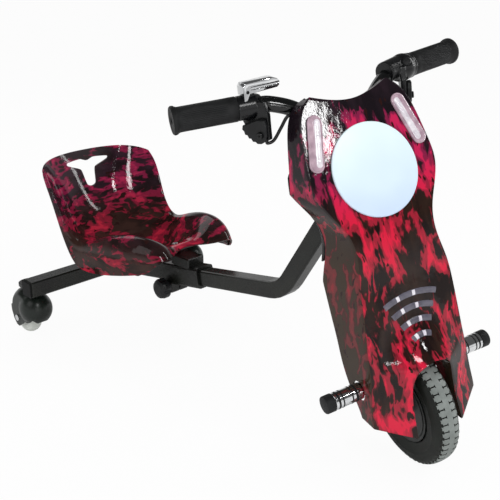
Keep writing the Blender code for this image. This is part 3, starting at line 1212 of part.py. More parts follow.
def build_electrics(column, front, skin, port, out, steel, plastic, alloy, rubber):
    """Battery, controller and the cage that holds them and the shroud, and the charging socket with its cap."""
    plate = -(LEG_DEPTH / 2 + 0.001 + LEG_AHEAD + GAP)
    half = BATTERY[0] / 2 + GAP
    front_edge = -(BATTERY_AHEAD + BATTERY[1] + 0.002 + CONTROLLER[1])
    shelf = BATTERY_LOW - GAP
    top = shelf + 0.115
    cage = box((-half - CAGE_WALL, front_edge, CROWN_LOW + 0.002), (half + CAGE_WALL, plate, top))
    room = box((-half, front_edge - 0.01, shelf), (half, plate - CAGE_WALL, top + 0.01))
    below = box((-half - 0.01, front_edge - 0.01, CROWN_LOW - 0.01),
                (half + 0.01, plate - CAGE_WALL, shelf - CAGE_WALL))
    cage = cut(cage, room, below)
    place = Matrix.Translation((0, -TRAIL, 0)) @ Matrix.Rotation(-RAKE, 4, "X")
    forward = (straight(0, 1) - straight(0)).normalized()
    for side in (-1, 1):
        for height in (shelf + 0.008, top - 0.008):
            foot = on_axis(height, -front_edge - 0.006, side * (half + CAGE_WALL / 2))
            start = place @ foot
            reach = []
            for spoke in range(9):
                angle = spoke * pi / 4
                size = 0.0 if spoke == 8 else POST_RADIUS
                around = Vector((cos(angle) * size, 0, sin(angle) * size))
                hit, normal, index, distance = skin.ray_cast(start + around, forward)
                reach.append(distance)
            cage = joined(cage, rod(POST_RADIUS, foot, foot + Vector((0, -(min(reach) - GAP), 0)), 10))
    keep(cage, "battery_cage", steel, column)
    pack_back = -BATTERY_AHEAD
    pack = box((-BATTERY[0] / 2, pack_back - BATTERY[1], BATTERY_LOW),
               (BATTERY[0] / 2, pack_back, BATTERY_LOW + BATTERY[2]), 0.003)
    keep(pack, "battery_pack", plastic, column)
    low = -(BATTERY_AHEAD + BATTERY[1] + GAP + CONTROLLER[1])
    body = box((-CONTROLLER[0] / 2, low, BATTERY_LOW),
               (CONTROLLER[0] / 2, low + CONTROLLER[1], BATTERY_LOW + CONTROLLER[2]), 0.0015)
    fins = 7
    for index in range(fins):
        x = CONTROLLER[0] * ((index + 0.5) / fins - 0.5)
        groove = box((x - 0.002, low - 0.001, BATTERY_LOW - 0.01), (x + 0.002, low + 0.005, BATTERY_LOW + 0.2))
        body = cut(body, groove)
    keep(body, "controller", alloy, column)

    socket = [(0.0, -0.010), (PORT_BODY, -0.010), (PORT_BODY, GAP), (PORT_BODY + 0.0025, GAP),
              (PORT_BODY + 0.0025, 0.0022), (0.0055, 0.0022), (0.0055, -0.007), (0.0, -0.007)]
    socket = turned(socket, port, port + out, 16)
    rise = (straight(1.0) - straight(0.0)).normalized()
    hinge = port + rise * (PORT_BODY + 0.0060) + out * 0.0040
    across = Vector((1, 0, 0))
    lug = rod(0.0018, hinge - across * 0.0048, hinge + across * 0.0048, 8)
    pin = rod(0.0011, hinge - across * 0.0074, hinge + across * 0.0074, 8)
    tab = port + rise * (PORT_BODY + 0.0048)
    base = joined(rod(0.0034, tab + out * GAP, tab + out * 0.0021, 8), rod(0.0018, hinge - out * 0.0025, hinge, 8))
    socket = joined(socket, base, lug, pin)
    keep(socket, "charge_port", plastic, front, 40)
    turn = frame_empty("charge_cap_turn", front, Matrix.Translation(hinge))
    level = 0.0022 + GAP
    cap = turned([(0.0, level), (PORT_BODY + 0.0010, level), (PORT_BODY + 0.0010, level + 0.0018),
                  (PORT_BODY - 0.0005, level + 0.0026), (0.0, level + 0.0026)], port, port + out, 16)
    arm_low = port + rise * 0.0045 + out * (level + 0.0013)
    reach = (hinge - arm_low).normalized()
    for shift in (-0.0062, 0.0062):
        strap = rod(0.0009, arm_low + across * shift, hinge + across * shift - reach * 0.0020, 6)
        ring = rod(0.0026, hinge + across * (shift - 0.0009), hinge + across * (shift + 0.0009), 8)
        cap = joined(cap, strap, ring)
    cap = cut(cap, rod(0.0015, hinge - across * 0.02, hinge + across * 0.02, 8))
    keep(moved(cap, Matrix.Translation(-hinge)), "charge_cap", rubber, turn, 40)


def main():
    """Build the whole tricycle."""
    global PARTS
    PARTS = clear_scene()
    steel = material("black_painted_steel", "15171A", 0.35)
    bright = material("zinc_plated_steel", "B9BBBD", 0.3, 1.0)
    chrome = material("chromed_steel", "D9DADB", 0.12, 1.0)
    alloy = material("cast_aluminium", "8E9092", 0.45, 1.0)
    plastic = material("black_abs", "141516", 0.5)
    caster_black = material("grey_green_nylon", "2B312F", 0.4)
    white = material("white_polyurethane", "E4E6E4", 0.35)
    rubber = material("black_rubber", "1D1D1E", 0.8)
    copper = material("stator_copper", "8A4B2A", 0.45, 0.6)
    printed = material("red_and_black_print", "7A0F22", 0.2)
    pale = material("pale_panel", "DCE7F2", 0.3)
    clear = material("lamp_lens", "C9C2CC", 0.15)
    frosted = material("light_guide", "9A9499", 0.4)
    cable_black = material("cable_jacket", "101011", 0.5)

    root = frame_empty("machine", None, Matrix.Translation((-ORIGIN_X, -ORIGIN_Y, -FLOOR_Z)))
    tilt = Matrix.Translation((0, -TRAIL, 0)) @ Matrix.Rotation(-RAKE, 4, "X")
    column = frame_empty("steering_axis", root, tilt)
    steered = frame_empty("steering_turn", column, Matrix.Rotation(STEER_AT_REST, 4, "Z"))
    front = frame_empty("front_group", steered, tilt.inverted())
    carriage = frame_empty("seat_carriage", root)

    build_frame(root, column, steel, plastic, bright)
    for side, word in ((-1, "right"), (1, "left")):
        build_caster(root, side, word, caster_black, white, bright)
    build_seat(carriage, printed, steel, bright, plastic)
    build_front(steered, front, steel, alloy, rubber, copper, chrome)
    build_bar(steered, front, steel, rubber, plastic, chrome, cable_black, plastic)
    skin, port, out = build_shroud(front, printed, plastic, pale, clear, frosted)
    build_electrics(steered, front, skin, port, out, steel, plastic, alloy, rubber)


main()
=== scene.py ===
"""Electric drift tricycle for a child: its shells, tyre, grips, lamps and finishes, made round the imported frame.

Sizes are in metres. Pieces of the front column are drawn as if the bar stood straight, with the same
numbers as the frame's own parts, and FRONT then turns them with the steering. The rider's right is at -X.
"""

from math import atan2, cos, pi, radians, sin

import bmesh
import bpy
from mathutils import Matrix, Vector
from mathutils.bvhtree import BVHTree


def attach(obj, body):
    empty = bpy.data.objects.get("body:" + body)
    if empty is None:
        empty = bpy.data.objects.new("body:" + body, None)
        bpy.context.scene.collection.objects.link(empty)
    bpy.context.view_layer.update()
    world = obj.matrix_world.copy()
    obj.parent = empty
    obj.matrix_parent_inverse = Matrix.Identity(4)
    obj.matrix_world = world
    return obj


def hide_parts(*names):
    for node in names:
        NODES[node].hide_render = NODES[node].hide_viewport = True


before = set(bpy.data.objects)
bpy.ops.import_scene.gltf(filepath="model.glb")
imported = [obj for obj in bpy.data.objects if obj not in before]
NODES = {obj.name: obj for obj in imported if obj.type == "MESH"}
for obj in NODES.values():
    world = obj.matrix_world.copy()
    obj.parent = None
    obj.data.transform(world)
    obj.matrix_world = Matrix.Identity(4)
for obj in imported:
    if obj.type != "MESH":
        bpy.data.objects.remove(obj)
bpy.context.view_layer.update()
SCENE = bpy.context.scene
SIDES = (("right", -1), ("left", 1))

# Places: the machine's own frame, and the steered column turned to the photographed angle
TRAIL = 0.012
RAKE = radians(25.0)
STEER = radians(-20.0)
MACHINE = Matrix.Translation((0.00958, -0.37653, -0.006))
TILT = Matrix.Translation((0, -TRAIL, 0)) @ Matrix.Rotation(-RAKE, 4, "X")
COLUMN = MACHINE @ TILT @ Matrix.Rotation(STEER, 4, "Z")
FRONT = COLUMN @ TILT.inverted()

WHEEL_CENTRE = Vector((0.0, -0.0080, 0.1015))
TYRE_RADIUS = 0.0940
FACE_Y = 0.0538
FACE_Z = 0.4554
FACE_LEAN = 0.509
GRIP_INNER = Vector((0.1448, 0.1650, 0.5520))
GRIP_OUTER = Vector((0.2344, 0.1802, 0.5535))
PEG_Y = -0.0041
PEG_Z = 0.157
PEG_END = 0.1451
PEG_RADIUS = 0.0125


# Shader tools

def tone(hex_colour):
    """An sRGB hex colour as linear RGBA."""
    shares = [int(hex_colour[start:start + 2], 16) / 255 for start in (1, 3, 5)]
    return (*[share / 12.92 if share <= 0.04045 else ((share + 0.055) / 1.055) ** 2.4 for share in shares], 1.0)


def node(tree, kind, inputs=None, stops=None, **settings):
    """Add a shader node: settings are its properties, inputs are values or the sockets that feed it."""
    made = tree.nodes.new("ShaderNode" + kind)
    for name, value in settings.items():
        setattr(made, name, value)
    for key, value in (inputs or {}).items():
        if isinstance(value, bpy.types.NodeSocket):
            tree.links.new(value, made.inputs[key])
        else:
            made.inputs[key].default_value = value
    if stops:
        ramp = made.color_ramp.elements
        while len(ramp) < len(stops):
            ramp.new(0.5)
        for element, (place, colour) in zip(ramp, stops):
            element.position = place
            element.color = tone(colour)
    return made


def blank(name, **values):
    """A new material with its Principled shader's plain values set."""
    made = bpy.data.materials.new(name)
    made.use_nodes = True
    shader = made.node_tree.nodes["Principled BSDF"]
    for key, value in values.items():
        shader.inputs[key.replace("_", " ")].default_value = value
    return made, made.node_tree, shader


def feed(tree, shader, **sockets):
    """Link sockets to the shader's inputs; an underscore in a name stands for a space."""
    for key, socket in sockets.items():
        tree.links.new(socket, shader.inputs[key.replace("_", " ")])


def maths(tree, operation, first, second=0.0):
    """One arithmetic step."""
    return node(tree, "Math", {0: first, 1: second}, operation=operation).outputs[0]


def remap(tree, value, low, high, start=0.0, end=1.0):
    """Values between low and high, spread from start to end and held there beyond them."""
    return node(tree, "MapRange", {0: value, 1: low, 2: high, 3: start, 4: end}).outputs[0]


def blend(tree, share, under, over):
    """One colour laid over another; a colour is a socket or a hex value."""
    under, over = [tone(part) if isinstance(part, str) else part for part in (under, over)]
    return node(tree, "Mix", {0: share, 6: under, 7: over}, data_type="RGBA").outputs[2]


def speckle(tree, place, scale, detail):
    """A plain noise value."""
    return node(tree, "TexNoise", {"Vector": place, "Scale": scale, "Detail": detail}).outputs[0]


def cloud(tree, place, scale, detail=2.0, variant=0.0, **inputs):
    """A noise value; each variant is a different pattern."""
    inputs = {key.title(): value for key, value in inputs.items()}
    return node(tree, "TexNoise", {"Vector": place, "Scale": scale, "Detail": detail, "W": variant, **inputs},
                noise_dimensions="4D").outputs[0]


def mottle(tree, place, scale, detail, dark, light, reach):
    """A colour that wanders from dark to light as the noise swings by reach about its middle."""
    return node(tree, "ValToRGB", {0: speckle(tree, place, scale, detail)},
                stops=[(0.5 - reach, dark), (0.5 + reach, light)]).outputs[0]


def relief(tree, height, distance, strength=1.0):
    """A bump from a height value."""
    return node(tree, "Bump", {"Height": height, "Distance": distance, "Strength": strength}).outputs[0]


def surface_grain(tree, shader, size_mm, height_mm, low, high):
    """Fine relief and a little change of roughness, from one noise of the given grain size."""
    place = node(tree, "TexCoord").outputs["Object"]
    grain = speckle(tree, place, 1000 / size_mm, 3.0)
    feed(tree, shader, Normal=relief(tree, grain, height_mm / 1000),
         Roughness=remap(tree, grain, 0.3, 0.7, low, high))
    return place


# Finishes

def flame_print(name, tongue_mm, patches, warm, cool, cool_from, side_share, seed):
    """Glossy ABS under a water-transfer flame camouflage: a near-black ground, crimson tongues in a maroon
    fringe, bright red hearts, and a clear lacquer over it. tongue_mm is the size of a tongue along X, Y and Z.
    A patch is its centre and reach along X, Y and Z, and how much hotter or darker the print is there. warm
    and cool are the inks below and above cool_from: two grounds, fringe, red and bright. side_share is how
    far the low side walls fade to brown."""
    made, tree, shader = blank(name, Specular_IOR_Level=0.0, Coat_Weight=0.55, Coat_Roughness=0.04)
    coordinates = node(tree, "TexCoord").outputs
    place = coordinates["Object"]
    up = node(tree, "SeparateXYZ", {0: place}).outputs["Z"]
    spread = node(tree, "Mapping", {"Vector": place, "Location": (seed, seed, seed),
                                    "Scale": tuple(1000 / size for size in tongue_mm)}).outputs[0]
    # A slow swirl bends the tongues, and a quick one tears their edges
    bent = spread
    for scale, amount in ((0.45, 1.7), (2.6, 0.26)):
        push = node(tree, "TexNoise", {"Vector": spread, "Scale": scale, "Detail": 2.0}).outputs["Color"]
        for operation, inputs in (("SUBTRACT", {1: (0.5, 0.5, 0.5)}), ("SCALE", {"Scale": amount}),
                                  ("ADD", {1: bent})):
            push = node(tree, "VectorMath", {0: push, **inputs}, operation=operation).outputs[0]
        bent = push

    strand = maths(tree, "ABSOLUTE", maths(tree, "SUBTRACT", cloud(tree, bent, 0.80, 2.0, 4.0), 0.5))
    heat = maths(tree, "ADD", cloud(tree, bent, 0.62, 2.4, 0.0, roughness=0.55),
                 remap(tree, strand, 0.0, 0.11, 0.15, 0.0))
    heat = maths(tree, "ADD", heat, remap(tree, cloud(tree, bent, 4.2, 2.0, 11.0), 0.3, 0.7, -0.024, 0.024))
    for centre, reach, amount in patches:
        spot = node(tree, "Mapping", {"Vector": place, "Scale": tuple(1 / size for size in reach),
                                      "Location": tuple(-middle / size for middle, size in zip(centre, reach))})
        spot = node(tree, "TexGradient", {0: spot.outputs[0]}, gradient_type="SPHERICAL").outputs[1]
        heat = node(tree, "Math", {0: spot, 1: amount, 2: heat}, operation="MULTIPLY_ADD").outputs[0]

    # Low on the side walls the print is duller and browner
    facing = node(tree, "SeparateXYZ", {0: coordinates["Normal"]}).outputs["X"]
    side = maths(tree, "MULTIPLY", remap(tree, maths(tree, "ABSOLUTE", facing), 0.66, 0.90),
                 remap(tree, up, 0.33, 0.41, side_share, 0.0))
    heat = node(tree, "Math", {0: side, 1: -0.05, 2: heat}, operation="MULTIPLY_ADD").outputs[0]
    height = remap(tree, up, cool_from, cool_from + 0.06)
    dark, light, fringe, red, bright = [blend(tree, height, first, second) for first, second in zip(warm, cool)]

    layer = blend(tree, remap(tree, cloud(tree, bent, 0.5, 2.0, 9.0), 0.42, 0.62), dark, light)
    layer = blend(tree, maths(tree, "MULTIPLY", side, 0.8), layer, "#3F3226")
    red = blend(tree, maths(tree, "MULTIPLY", side, 0.7), red, "#54302C")
    bright = blend(tree, maths(tree, "MULTIPLY", side, 0.7), bright, "#6E2A2A")
    for ink, low, high, share in ((fringe, 0.550, 0.590, 0.8), (red, 0.588, 0.622, 1.0), (bright, 0.672, 0.752, 1.0)):
        layer = blend(tree, remap(tree, heat, low, high, 0.0, share), layer, ink)
    # Small dark holes burnt into the tongues
    layer = blend(tree, remap(tree, cloud(tree, bent, 1.9, 1.5, 7.0), 0.63, 0.66), layer, "#2A1412")
    # Lacquer pulls the highlights into slow waves and speckles their edges
    wave = cloud(tree, place, 1000 / 26, 5.0, 2.0, roughness=0.62)
    feed(tree, shader, Base_Color=layer, Coat_Normal=relief(tree, wave, 0.0009, 0.5))
    return made


def on_front(*spots):
    """Patches on the shroud, given in millimetres across, up, half width, half height, and hundredths."""
    return [((x / 1000, 0.0, z / 1000), (wide / 1000, 1.0, tall / 1000), amount / 100)
            for x, z, wide, tall, amount in spots]


# Where the print burns hotter or stays dark
SHROUD_PATCHES = on_front(
    (-9, 530, 26, 24, 11), (38, 520, 16, 18, 9), (84, 446, 24, 52, 24), (66, 489, 22, 30, 9), (-76, 478, 16, 55, 8),
    (-104, 440, 12, 14, 14), (-68, 406, 34, 30, 15), (-20, 368, 55, 44, 19), (42, 354, 34, 40, 12),
    (-74, 332, 20, 28, 9), (66, 310, 22, 18, 8), (-74, 250, 12, 62, 10), (-40, 210, 34, 46, 13),
    (-52, 116, 34, 38, 11), (-80, 152, 18, 26, 5), (74, 228, 20, 62, 11), (70, 165, 20, 30, 12),
    (40, 259, 12, 20, 12), (35, 206, 26, 18, 12), (31, 545, 110, 34, -22), (60, 398, 26, 24, -22),
    (-92, 420, 20, 34, -16), (8, 286, 66, 36, -20), (58, 278, 30, 30, -14), (-58, 226, 12, 16, -12),
    (-84, 525, 40, 50, -16), (70, 545, 50, 40, -16))
SEAT_PATCHES = [((0.0, 0.83, 0.31), (0.06, 0.2, 0.05), -0.12)]

SHROUD_WARM = ("#1B1110", "#2F201A", "#521B20", "#9E2335", "#D82140")
SHROUD_COOL = ("#181217", "#271C23", "#45192A", "#801F44", "#C62454")
SEAT_WARM = ("#221512", "#3A2520", "#4E1A20", "#861D31", "#B9263D")
SEAT_COOL = ("#1F1317", "#33202A", "#4B1A2A", "#7E1E40", "#AC2A50")


def powder_coat():
    """Satin black powder coat on steel tube: an orange-peel skin about 1.5 mm across, worn a little grey on
    the corners."""
    made, tree, shader = blank("black_powder_coat", Specular_IOR_Level=0.4)
    place = surface_grain(tree, shader, 1.5, 0.02, 0.22, 0.36)
    corner = node(tree, "Bevel", {"Radius": 0.0012}).outputs[0]
    bare = node(tree, "NewGeometry").outputs["Normal"]
    worn = node(tree, "VectorMath", {0: corner, 1: bare}, operation="DOT_PRODUCT").outputs["Value"]
    feed(tree, shader, Base_Color=blend(tree, remap(tree, worn, 0.995, 0.93, 0.0, 0.35),
                                        mottle(tree, place, 22.0, 4.0, "#0B0C0B", "#171914", 0.15), "#3A3C3A"))
    return made


def grained(name, light, dark, low, high, grain_mm, relief_mm, scale, reach, **values):
    """A surface with a fine grain and a mottled colour."""
    made, tree, shader = blank(name, **values)
    place = surface_grain(tree, shader, grain_mm, relief_mm, low, high)
    feed(tree, shader, Base_Color=mottle(tree, place, scale, 3.0, dark, light, reach))
    return made


def moulded(name, light, dark, grain_mm, low, high, relief_mm, shine):
    """A moulded plastic or rubber: spark-eroded grain in the relief and slight mottling of its colour."""
    return grained(name, light, dark, low, high, grain_mm, relief_mm, 40.0, 0.15, Specular_IOR_Level=shine)


def metal(name, light, dark, low, high, grain_mm, relief_mm=0.004):
    """A bare or plated metal: its own colour with faint cloudiness and fine handling marks."""
    return grained(name, light, dark, low, high, grain_mm, relief_mm, 60.0, 0.20, Metallic=1.0)


def pale_panel():
    """White translucent panel, satin: a cool white that deepens to blue at its foot, which is painted shade."""
    made, tree, shader = blank("pale_panel_satin", Roughness=0.42, Coat_Weight=0.15, Coat_Roughness=0.2,
                               Specular_IOR_Level=0.35)
    place = node(tree, "TexCoord").outputs["Object"]
    # Painted shade: darker and bluer towards the foot of the panel, paler at its top
    rise = remap(tree, node(tree, "SeparateXYZ", {0: place}).outputs["Z"], 0.398, 0.510)
    drift = remap(tree, speckle(tree, place, 18.0, 1.0), 0.3, 0.7, -0.12, 0.12)
    shade = node(tree, "ValToRGB", {0: maths(tree, "ADD", rise, drift)},
                 stops=[(0.0, "#CFE2FB"), (0.45, "#DCEFFB"), (1.0, "#E6F8FC")])
    feed(tree, shader, Base_Color=shade.outputs[0])
    return made


def lens(name, light, dark, rough, cover=1.0):
    """Clear moulded lens over a pale backing: glossy, clouded by the light it scatters; cover is how much of
    what lies under it is hidden."""
    made, tree, shader = blank(name, Roughness=rough, Coat_Weight=0.6, Coat_Roughness=0.05, Alpha=cover)
    place = node(tree, "TexCoord").outputs["Object"]
    haze = remap(tree, cloud(tree, place, 90.0, 3.0), 0.36, 0.64)
    ripple = cloud(tree, place, 420.0, 2.0, 3.0)
    feed(tree, shader, Base_Color=blend(tree, haze, dark, light), Coat_Normal=relief(tree, ripple, 0.0004, 0.6))
    return made


# Short name, material, light and dark colour, grain in millimetres, lowest and highest roughness, relief in
# millimetres and specular level
MOULDED = (
    ("abs", "black_abs", "#17181A", "#0E0F10", 0.6, 0.34, 0.5, 0.02, 0.35),
    ("gloss_abs", "black_abs_polished", "#121315", "#090A0B", 0.9, 0.20, 0.32, 0.008, 0.4),
    ("matt_abs", "black_abs_matt", "#101112", "#090A0A", 0.6, 0.5, 0.62, 0.02, 0.15),
    ("nylon", "grey_green_nylon", "#1B231E", "#121814", 0.8, 0.24, 0.38, 0.01, 0.4),
    ("tread_white", "white_polyurethane", "#E6E9E4", "#D9DDD6", 0.8, 0.25, 0.4, 0.01, 0.5),
    ("gloss_steel", "black_gloss_paint", "#101112", "#080909", 1.2, 0.10, 0.18, 0.008, 0.5),
    ("hub_enamel", "black_enamelled_aluminium", "#1E211F", "#141614", 0.9, 0.30, 0.44, 0.01, 0.5),
    ("rubber", "black_rubber", "#1C1D1E", "#111213", 0.5, 0.5, 0.68, 0.03, 0.3),
    ("sidewall", "tyre_sidewall", "#191D18", "#10130F", 0.7, 0.45, 0.62, 0.03, 0.3),
    ("tread", "tyre_tread_worn", "#8B918E", "#727875", 1.2, 0.65, 0.8, 0.05, 0.5),
    ("jacket", "cable_jacket", "#121213", "#090909", 0.5, 0.24, 0.36, 0.02, 0.5),
)
FINISH = {
    "shroud": flame_print("flame_print_on_shroud", (12.5, 22.0, 37.0), SHROUD_PATCHES, SHROUD_WARM, SHROUD_COOL,
                          0.40, 1.0, 3.7),
    "seat": flame_print("flame_print_on_seat", (36.0, 28.0, 14.0), SEAT_PATCHES, SEAT_WARM, SEAT_COOL,
                        0.20, 0.0, 9.1),
    "steel": powder_coat(),
    "chrome": metal("polished_chrome", "#E9EAEB", "#D5D7D9", 0.05, 0.12, 1.5, 0.002),
    "zinc": metal("zinc_plate", "#B5B7B8", "#9A9C9D", 0.26, 0.4, 0.5),
    "alloy": metal("cast_aluminium", "#8E9192", "#737677", 0.42, 0.58, 0.7, 0.02),
    "copper": metal("copper_winding", "#A3603A", "#7A4023", 0.3, 0.45, 0.8, 0.05),
    "panel": pale_panel(),
    "lens_shade": lens("lamp_lens_shaded", "#C9AEBB", "#A78C9A", 0.2),
    "silver": lens("lamp_reflector", "#F1ECF1", "#CFC6CF", 0.12),
    "guide": lens("light_guide_grey", "#74717F", "#5C5967", 0.25, 0.80),
    # led also colours the painted highlights on the arc lamps
    "led": lens("light_spot_and_painted_highlight", "#F4F1F7", "#DAD4E0", 0.2),
}
FINISH.update((key, moulded(*row)) for key, *row in MOULDED)


# Modelling tools

def piece(name, verts, faces, finish):
    """A mesh object from points and faces, with its finish."""
    mesh = bpy.data.meshes.new(name)
    mesh.from_pydata([tuple(v) for v in verts], [], faces)
    obj = bpy.data.objects.new(name, mesh)
    SCENE.collection.objects.link(obj)
    mesh.materials.append(FINISH[finish])
    return obj


def smooth(obj, sharp):
    """Smooth shading, but for edges sharper than so many degrees."""
    obj.data.shade_smooth()
    obj.data.set_sharp_from_angle(angle=radians(sharp))
    return obj


def settle(obj, sharp=35.0):
    """Apply the modifiers, turn the faces outwards and set smooth shading."""
    bpy.context.view_layer.update()
    seen = obj.evaluated_get(bpy.context.evaluated_depsgraph_get())
    mesh = bpy.data.meshes.new_from_object(seen)
    obj.modifiers.clear()
    obj.data = mesh
    mesh.name = obj.name
    work = bmesh.new()
    work.from_mesh(mesh)
    bmesh.ops.remove_doubles(work, verts=work.verts, dist=0.000002)
    bmesh.ops.recalc_face_normals(work, faces=work.faces)
    work.to_mesh(mesh)
    work.free()
    return smooth(obj, sharp)


def modify(obj, kind, **settings):
    """Add a modifier with its settings."""
    made = obj.modifiers.new(kind.lower(), kind)
    for name, value in settings.items():
        setattr(made, name, value)


def rounded(obj, width, segments=2):
    """Round the sharp edges by a modifier."""
    modify(obj, "BEVEL", width=width, segments=segments, limit_method="ANGLE", angle_limit=radians(35.0))
    return obj


def coat(obj, finish):
    """Give an object one finish in place of those it has."""
    obj.data.materials.clear()
    obj.data.materials.append(FINISH[finish])
    return obj


def mirrored(obj):
    """Move a piece's mesh to the other side of the machine."""
    obj.data.transform(Matrix.Scale(-1, 4, (1, 0, 0)))
    obj.data.flip_normals()
    return obj


def mount(obj, slot, *nodes, body="steered_column", place=FRONT):
    """Stand a finished piece in its place and hang it on its body; name the frame nodes it stands for, which
    are hidden. The slot is not used."""
    obj.matrix_world = place
    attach(obj, body)
    if nodes:
        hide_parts(*nodes)


def along(start, end):
    """The matrix that stands on start with its Z axis pointing to end."""
    start = Vector(start)
    return Matrix.Translation(start) @ (Vector(end) - start).to_track_quat("Z", "Y").to_matrix().to_4x4()


def turned(name, profile, start, end, finish, steps=64, shape=None):
    """A turned piece from radius and distance pairs; shape may change the radius by angle and distance."""
    stand = along(start, end)
    verts = []
    rings = []
    for radius, distance in profile:
        count = steps if radius > 1e-7 else 1
        rings.append(range(len(verts), len(verts) + count))
        for step in range(count):
            angle = 2 * pi * step / steps
            real = shape(radius, distance, angle) if shape else radius
            verts.append(stand @ Vector((real * cos(angle), real * sin(angle), distance)))
    pairs = list(zip(rings, rings[1:]))
    if len(rings[0]) > 1:
        pairs.append((rings[-1], rings[0]))
    faces = []
    for first, second in pairs:
        for step in range(steps):
            after = (step + 1) % steps
            # A ring of one point turns the face into a triangle
            faces.append(tuple(dict.fromkeys((first[step % len(first)], first[after % len(first)],
                                              second[after % len(second)], second[step % len(second)]))))
    return piece(name, verts, faces, finish)


def quads(rows, count, wrap=True):
    """Faces between rows of count points; wrap joins the last point of a row to its first."""
    return [(low + step, low + (step + 1) % count, low + count + (step + 1) % count, low + count + step)
            for low in range(0, (rows - 1) * count, count) for step in range(count if wrap else count - 1)]


def stacked(name, rings, finish):
    """A closed shape through rings of as many points each, flat at both ends."""
    count = len(rings[0])
    verts = [point for ring in rings for point in ring]
    ends = [tuple(reversed(range(count))), tuple(range(len(verts) - count, len(verts)))]
    return piece(name, verts, ends + quads(len(rings), count), finish)


def smooth_path(points, steps):
    """A smooth curve through the points."""
    places = [Vector(point) for point in points]
    places = [places[0] * 2 - places[1], *places, places[-1] * 2 - places[-2]]
    path = []
    for before, here, after, beyond in zip(places, places[1:], places[2:], places[3:]):
        for step in range(steps):
            t = step / steps
            path.append(0.5 * (2 * here + (after - before) * t
                               + (2 * before - 5 * here + 4 * after - beyond) * t ** 2
                               + (3 * here - before - 3 * after + beyond) * t ** 3))
    path.append(places[-2])
    return path


def heading(path, index):
    """The way a path runs at one of its points."""
    return (path[min(index + 1, len(path) - 1)] - path[max(index - 1, 0)]).normalized()


def circle(x, y, radius, steps, turn=0.0):
    """Points round a centre."""
    return [(x + radius * cos(turn + 2 * pi * step / steps), y + radius * sin(turn + 2 * pi * step / steps))
            for step in range(steps)]


def tube(name, path, radius, finish, sides):
    """A round bar along a path, its frames carried on from point to point so that it doesn't twist."""
    side = heading(path, 0).orthogonal().normalized()
    rings = []
    for index, point in enumerate(path):
        ahead = heading(path, index)
        side = (side - ahead * side.dot(ahead)).normalized()
        up = ahead.cross(side)
        rings.append([point + side * u + up * v for u, v in circle(0.0, 0.0, radius, sides)])
    return stacked(name, rings, finish)


def prism(name, outline, low, high, point, finish="abs"):
    """A flat outline pushed from low to high; point turns (u, v, depth) into a place."""
    count = len(outline)
    verts = [point(u, v, depth) for depth in (low, high) for u, v in outline]
    faces = [tuple(range(count)), tuple(reversed(range(count, 2 * count)))]
    for index in range(count):
        after = (index + 1) % count
        faces.append((index, index + count, after + count, after))
    return piece(name, verts, faces, finish)


def from_side(u, v, depth):
    """A place in an outline seen from the side, with its depth across the machine."""
    return Vector((depth, u, v))


def from_front(u, v, depth):
    """A place in an outline seen from the front."""
    return Vector((u, depth, v))


def upright(u, v, depth):
    """A place in an outline that lies flat."""
    return Vector((u, v, depth))


def solid(outline, low, high, point, width=0.0, finish="abs"):
    """A settled prism, its edges rounded."""
    obj = prism("part", outline, low, high, point, finish)
    return settle(rounded(obj, width)) if width else settle(obj)


def bar(radius, start, end, finish="abs", steps=32):
    """A round bar with slightly rounded ends."""
    length = (Vector(end) - Vector(start)).length
    soft = min(0.0008, radius * 0.3)
    return turned("part", [(0.0, 0.0), (radius - soft, 0.0), (radius, soft), (radius, length - soft),
                           (radius - soft, length), (0.0, length)], start, end, finish, steps)


def cut_away(obj, tool):
    """Cut a closed object out of another one; the tool is used up."""
    modify(obj, "BOOLEAN", operation="DIFFERENCE", solver="EXACT", object=settle(tool))
    settle(obj)
    bpy.data.objects.remove(tool, do_unlink=True)


def cut_prism(obj, *shape):
    """Cut a prism out of an object."""
    cut_away(obj, prism("cutter", *shape))


def joined(first, *others):
    """Put the other objects' meshes into the first one."""
    work = bmesh.new()
    for obj in (first, *others):
        work.from_mesh(obj.data)
    work.to_mesh(first.data)
    work.free()
    for obj in others:
        bpy.data.objects.remove(obj, do_unlink=True)
    return first


def grown_together(obj, voxel, passes):
    """Fuse the overlapping shapes of a mesh into one skin and soften it, as in a moulding with wide fillets."""
    settle(obj)
    modify(obj, "REMESH", mode="VOXEL", voxel_size=voxel)
    modify(obj, "SMOOTH", factor=0.5, iterations=passes)
    return settle(obj, 50)


def face_y(z):
    """The shroud's upper face, a plane that leans back."""
    return FACE_Y + FACE_LEAN * (z - FACE_Z)


def in_metres(rows):
    """Rows of points given in millimetres; a point without a depth lies on the shroud's upper face."""
    return [[Vector((x / 1000, face_y(z / 1000) if y is None else y / 1000, z / 1000)) for x, y, z in row]
            for row in rows]


def straight(height, ahead=0.0, x=0.0):
    """A point of the steered column, given along and ahead of the steering axis, with the bar straight."""
    return Vector((x, -TRAIL + height * sin(RAKE) - ahead * cos(RAKE), height * cos(RAKE) + ahead * sin(RAKE)))


EDGE_CREASE = 0.75
CORNER_CREASE = 0.8


def moulded_wall(obj, thickness, creased=(), pointed=()):
    """Mirror a half surface, round it by subdivision and give it a wall behind."""
    modify(obj, "MIRROR", use_axis=(True, False, False), use_clip=True, merge_threshold=0.00005)
    layer = obj.data.attributes.new("crease_edge", "FLOAT", "EDGE")
    wanted = {tuple(sorted(pair)) for pair in creased}
    for edge in obj.data.edges:
        if tuple(sorted(edge.vertices)) in wanted:
            layer.data[edge.index].value = EDGE_CREASE
    layer = obj.data.attributes.new("crease_vert", "FLOAT", "POINT")
    for index in pointed:
        layer.data[index].value = CORNER_CREASE
    modify(obj, "SUBSURF", levels=3, render_levels=3)
    modify(obj, "SOLIDIFY", thickness=thickness, offset=1.0, use_even_offset=True)
    return settle(obj, 45)


# Shroud: the middle, the front corner and the rear edge of each row, in millimetres from the top down

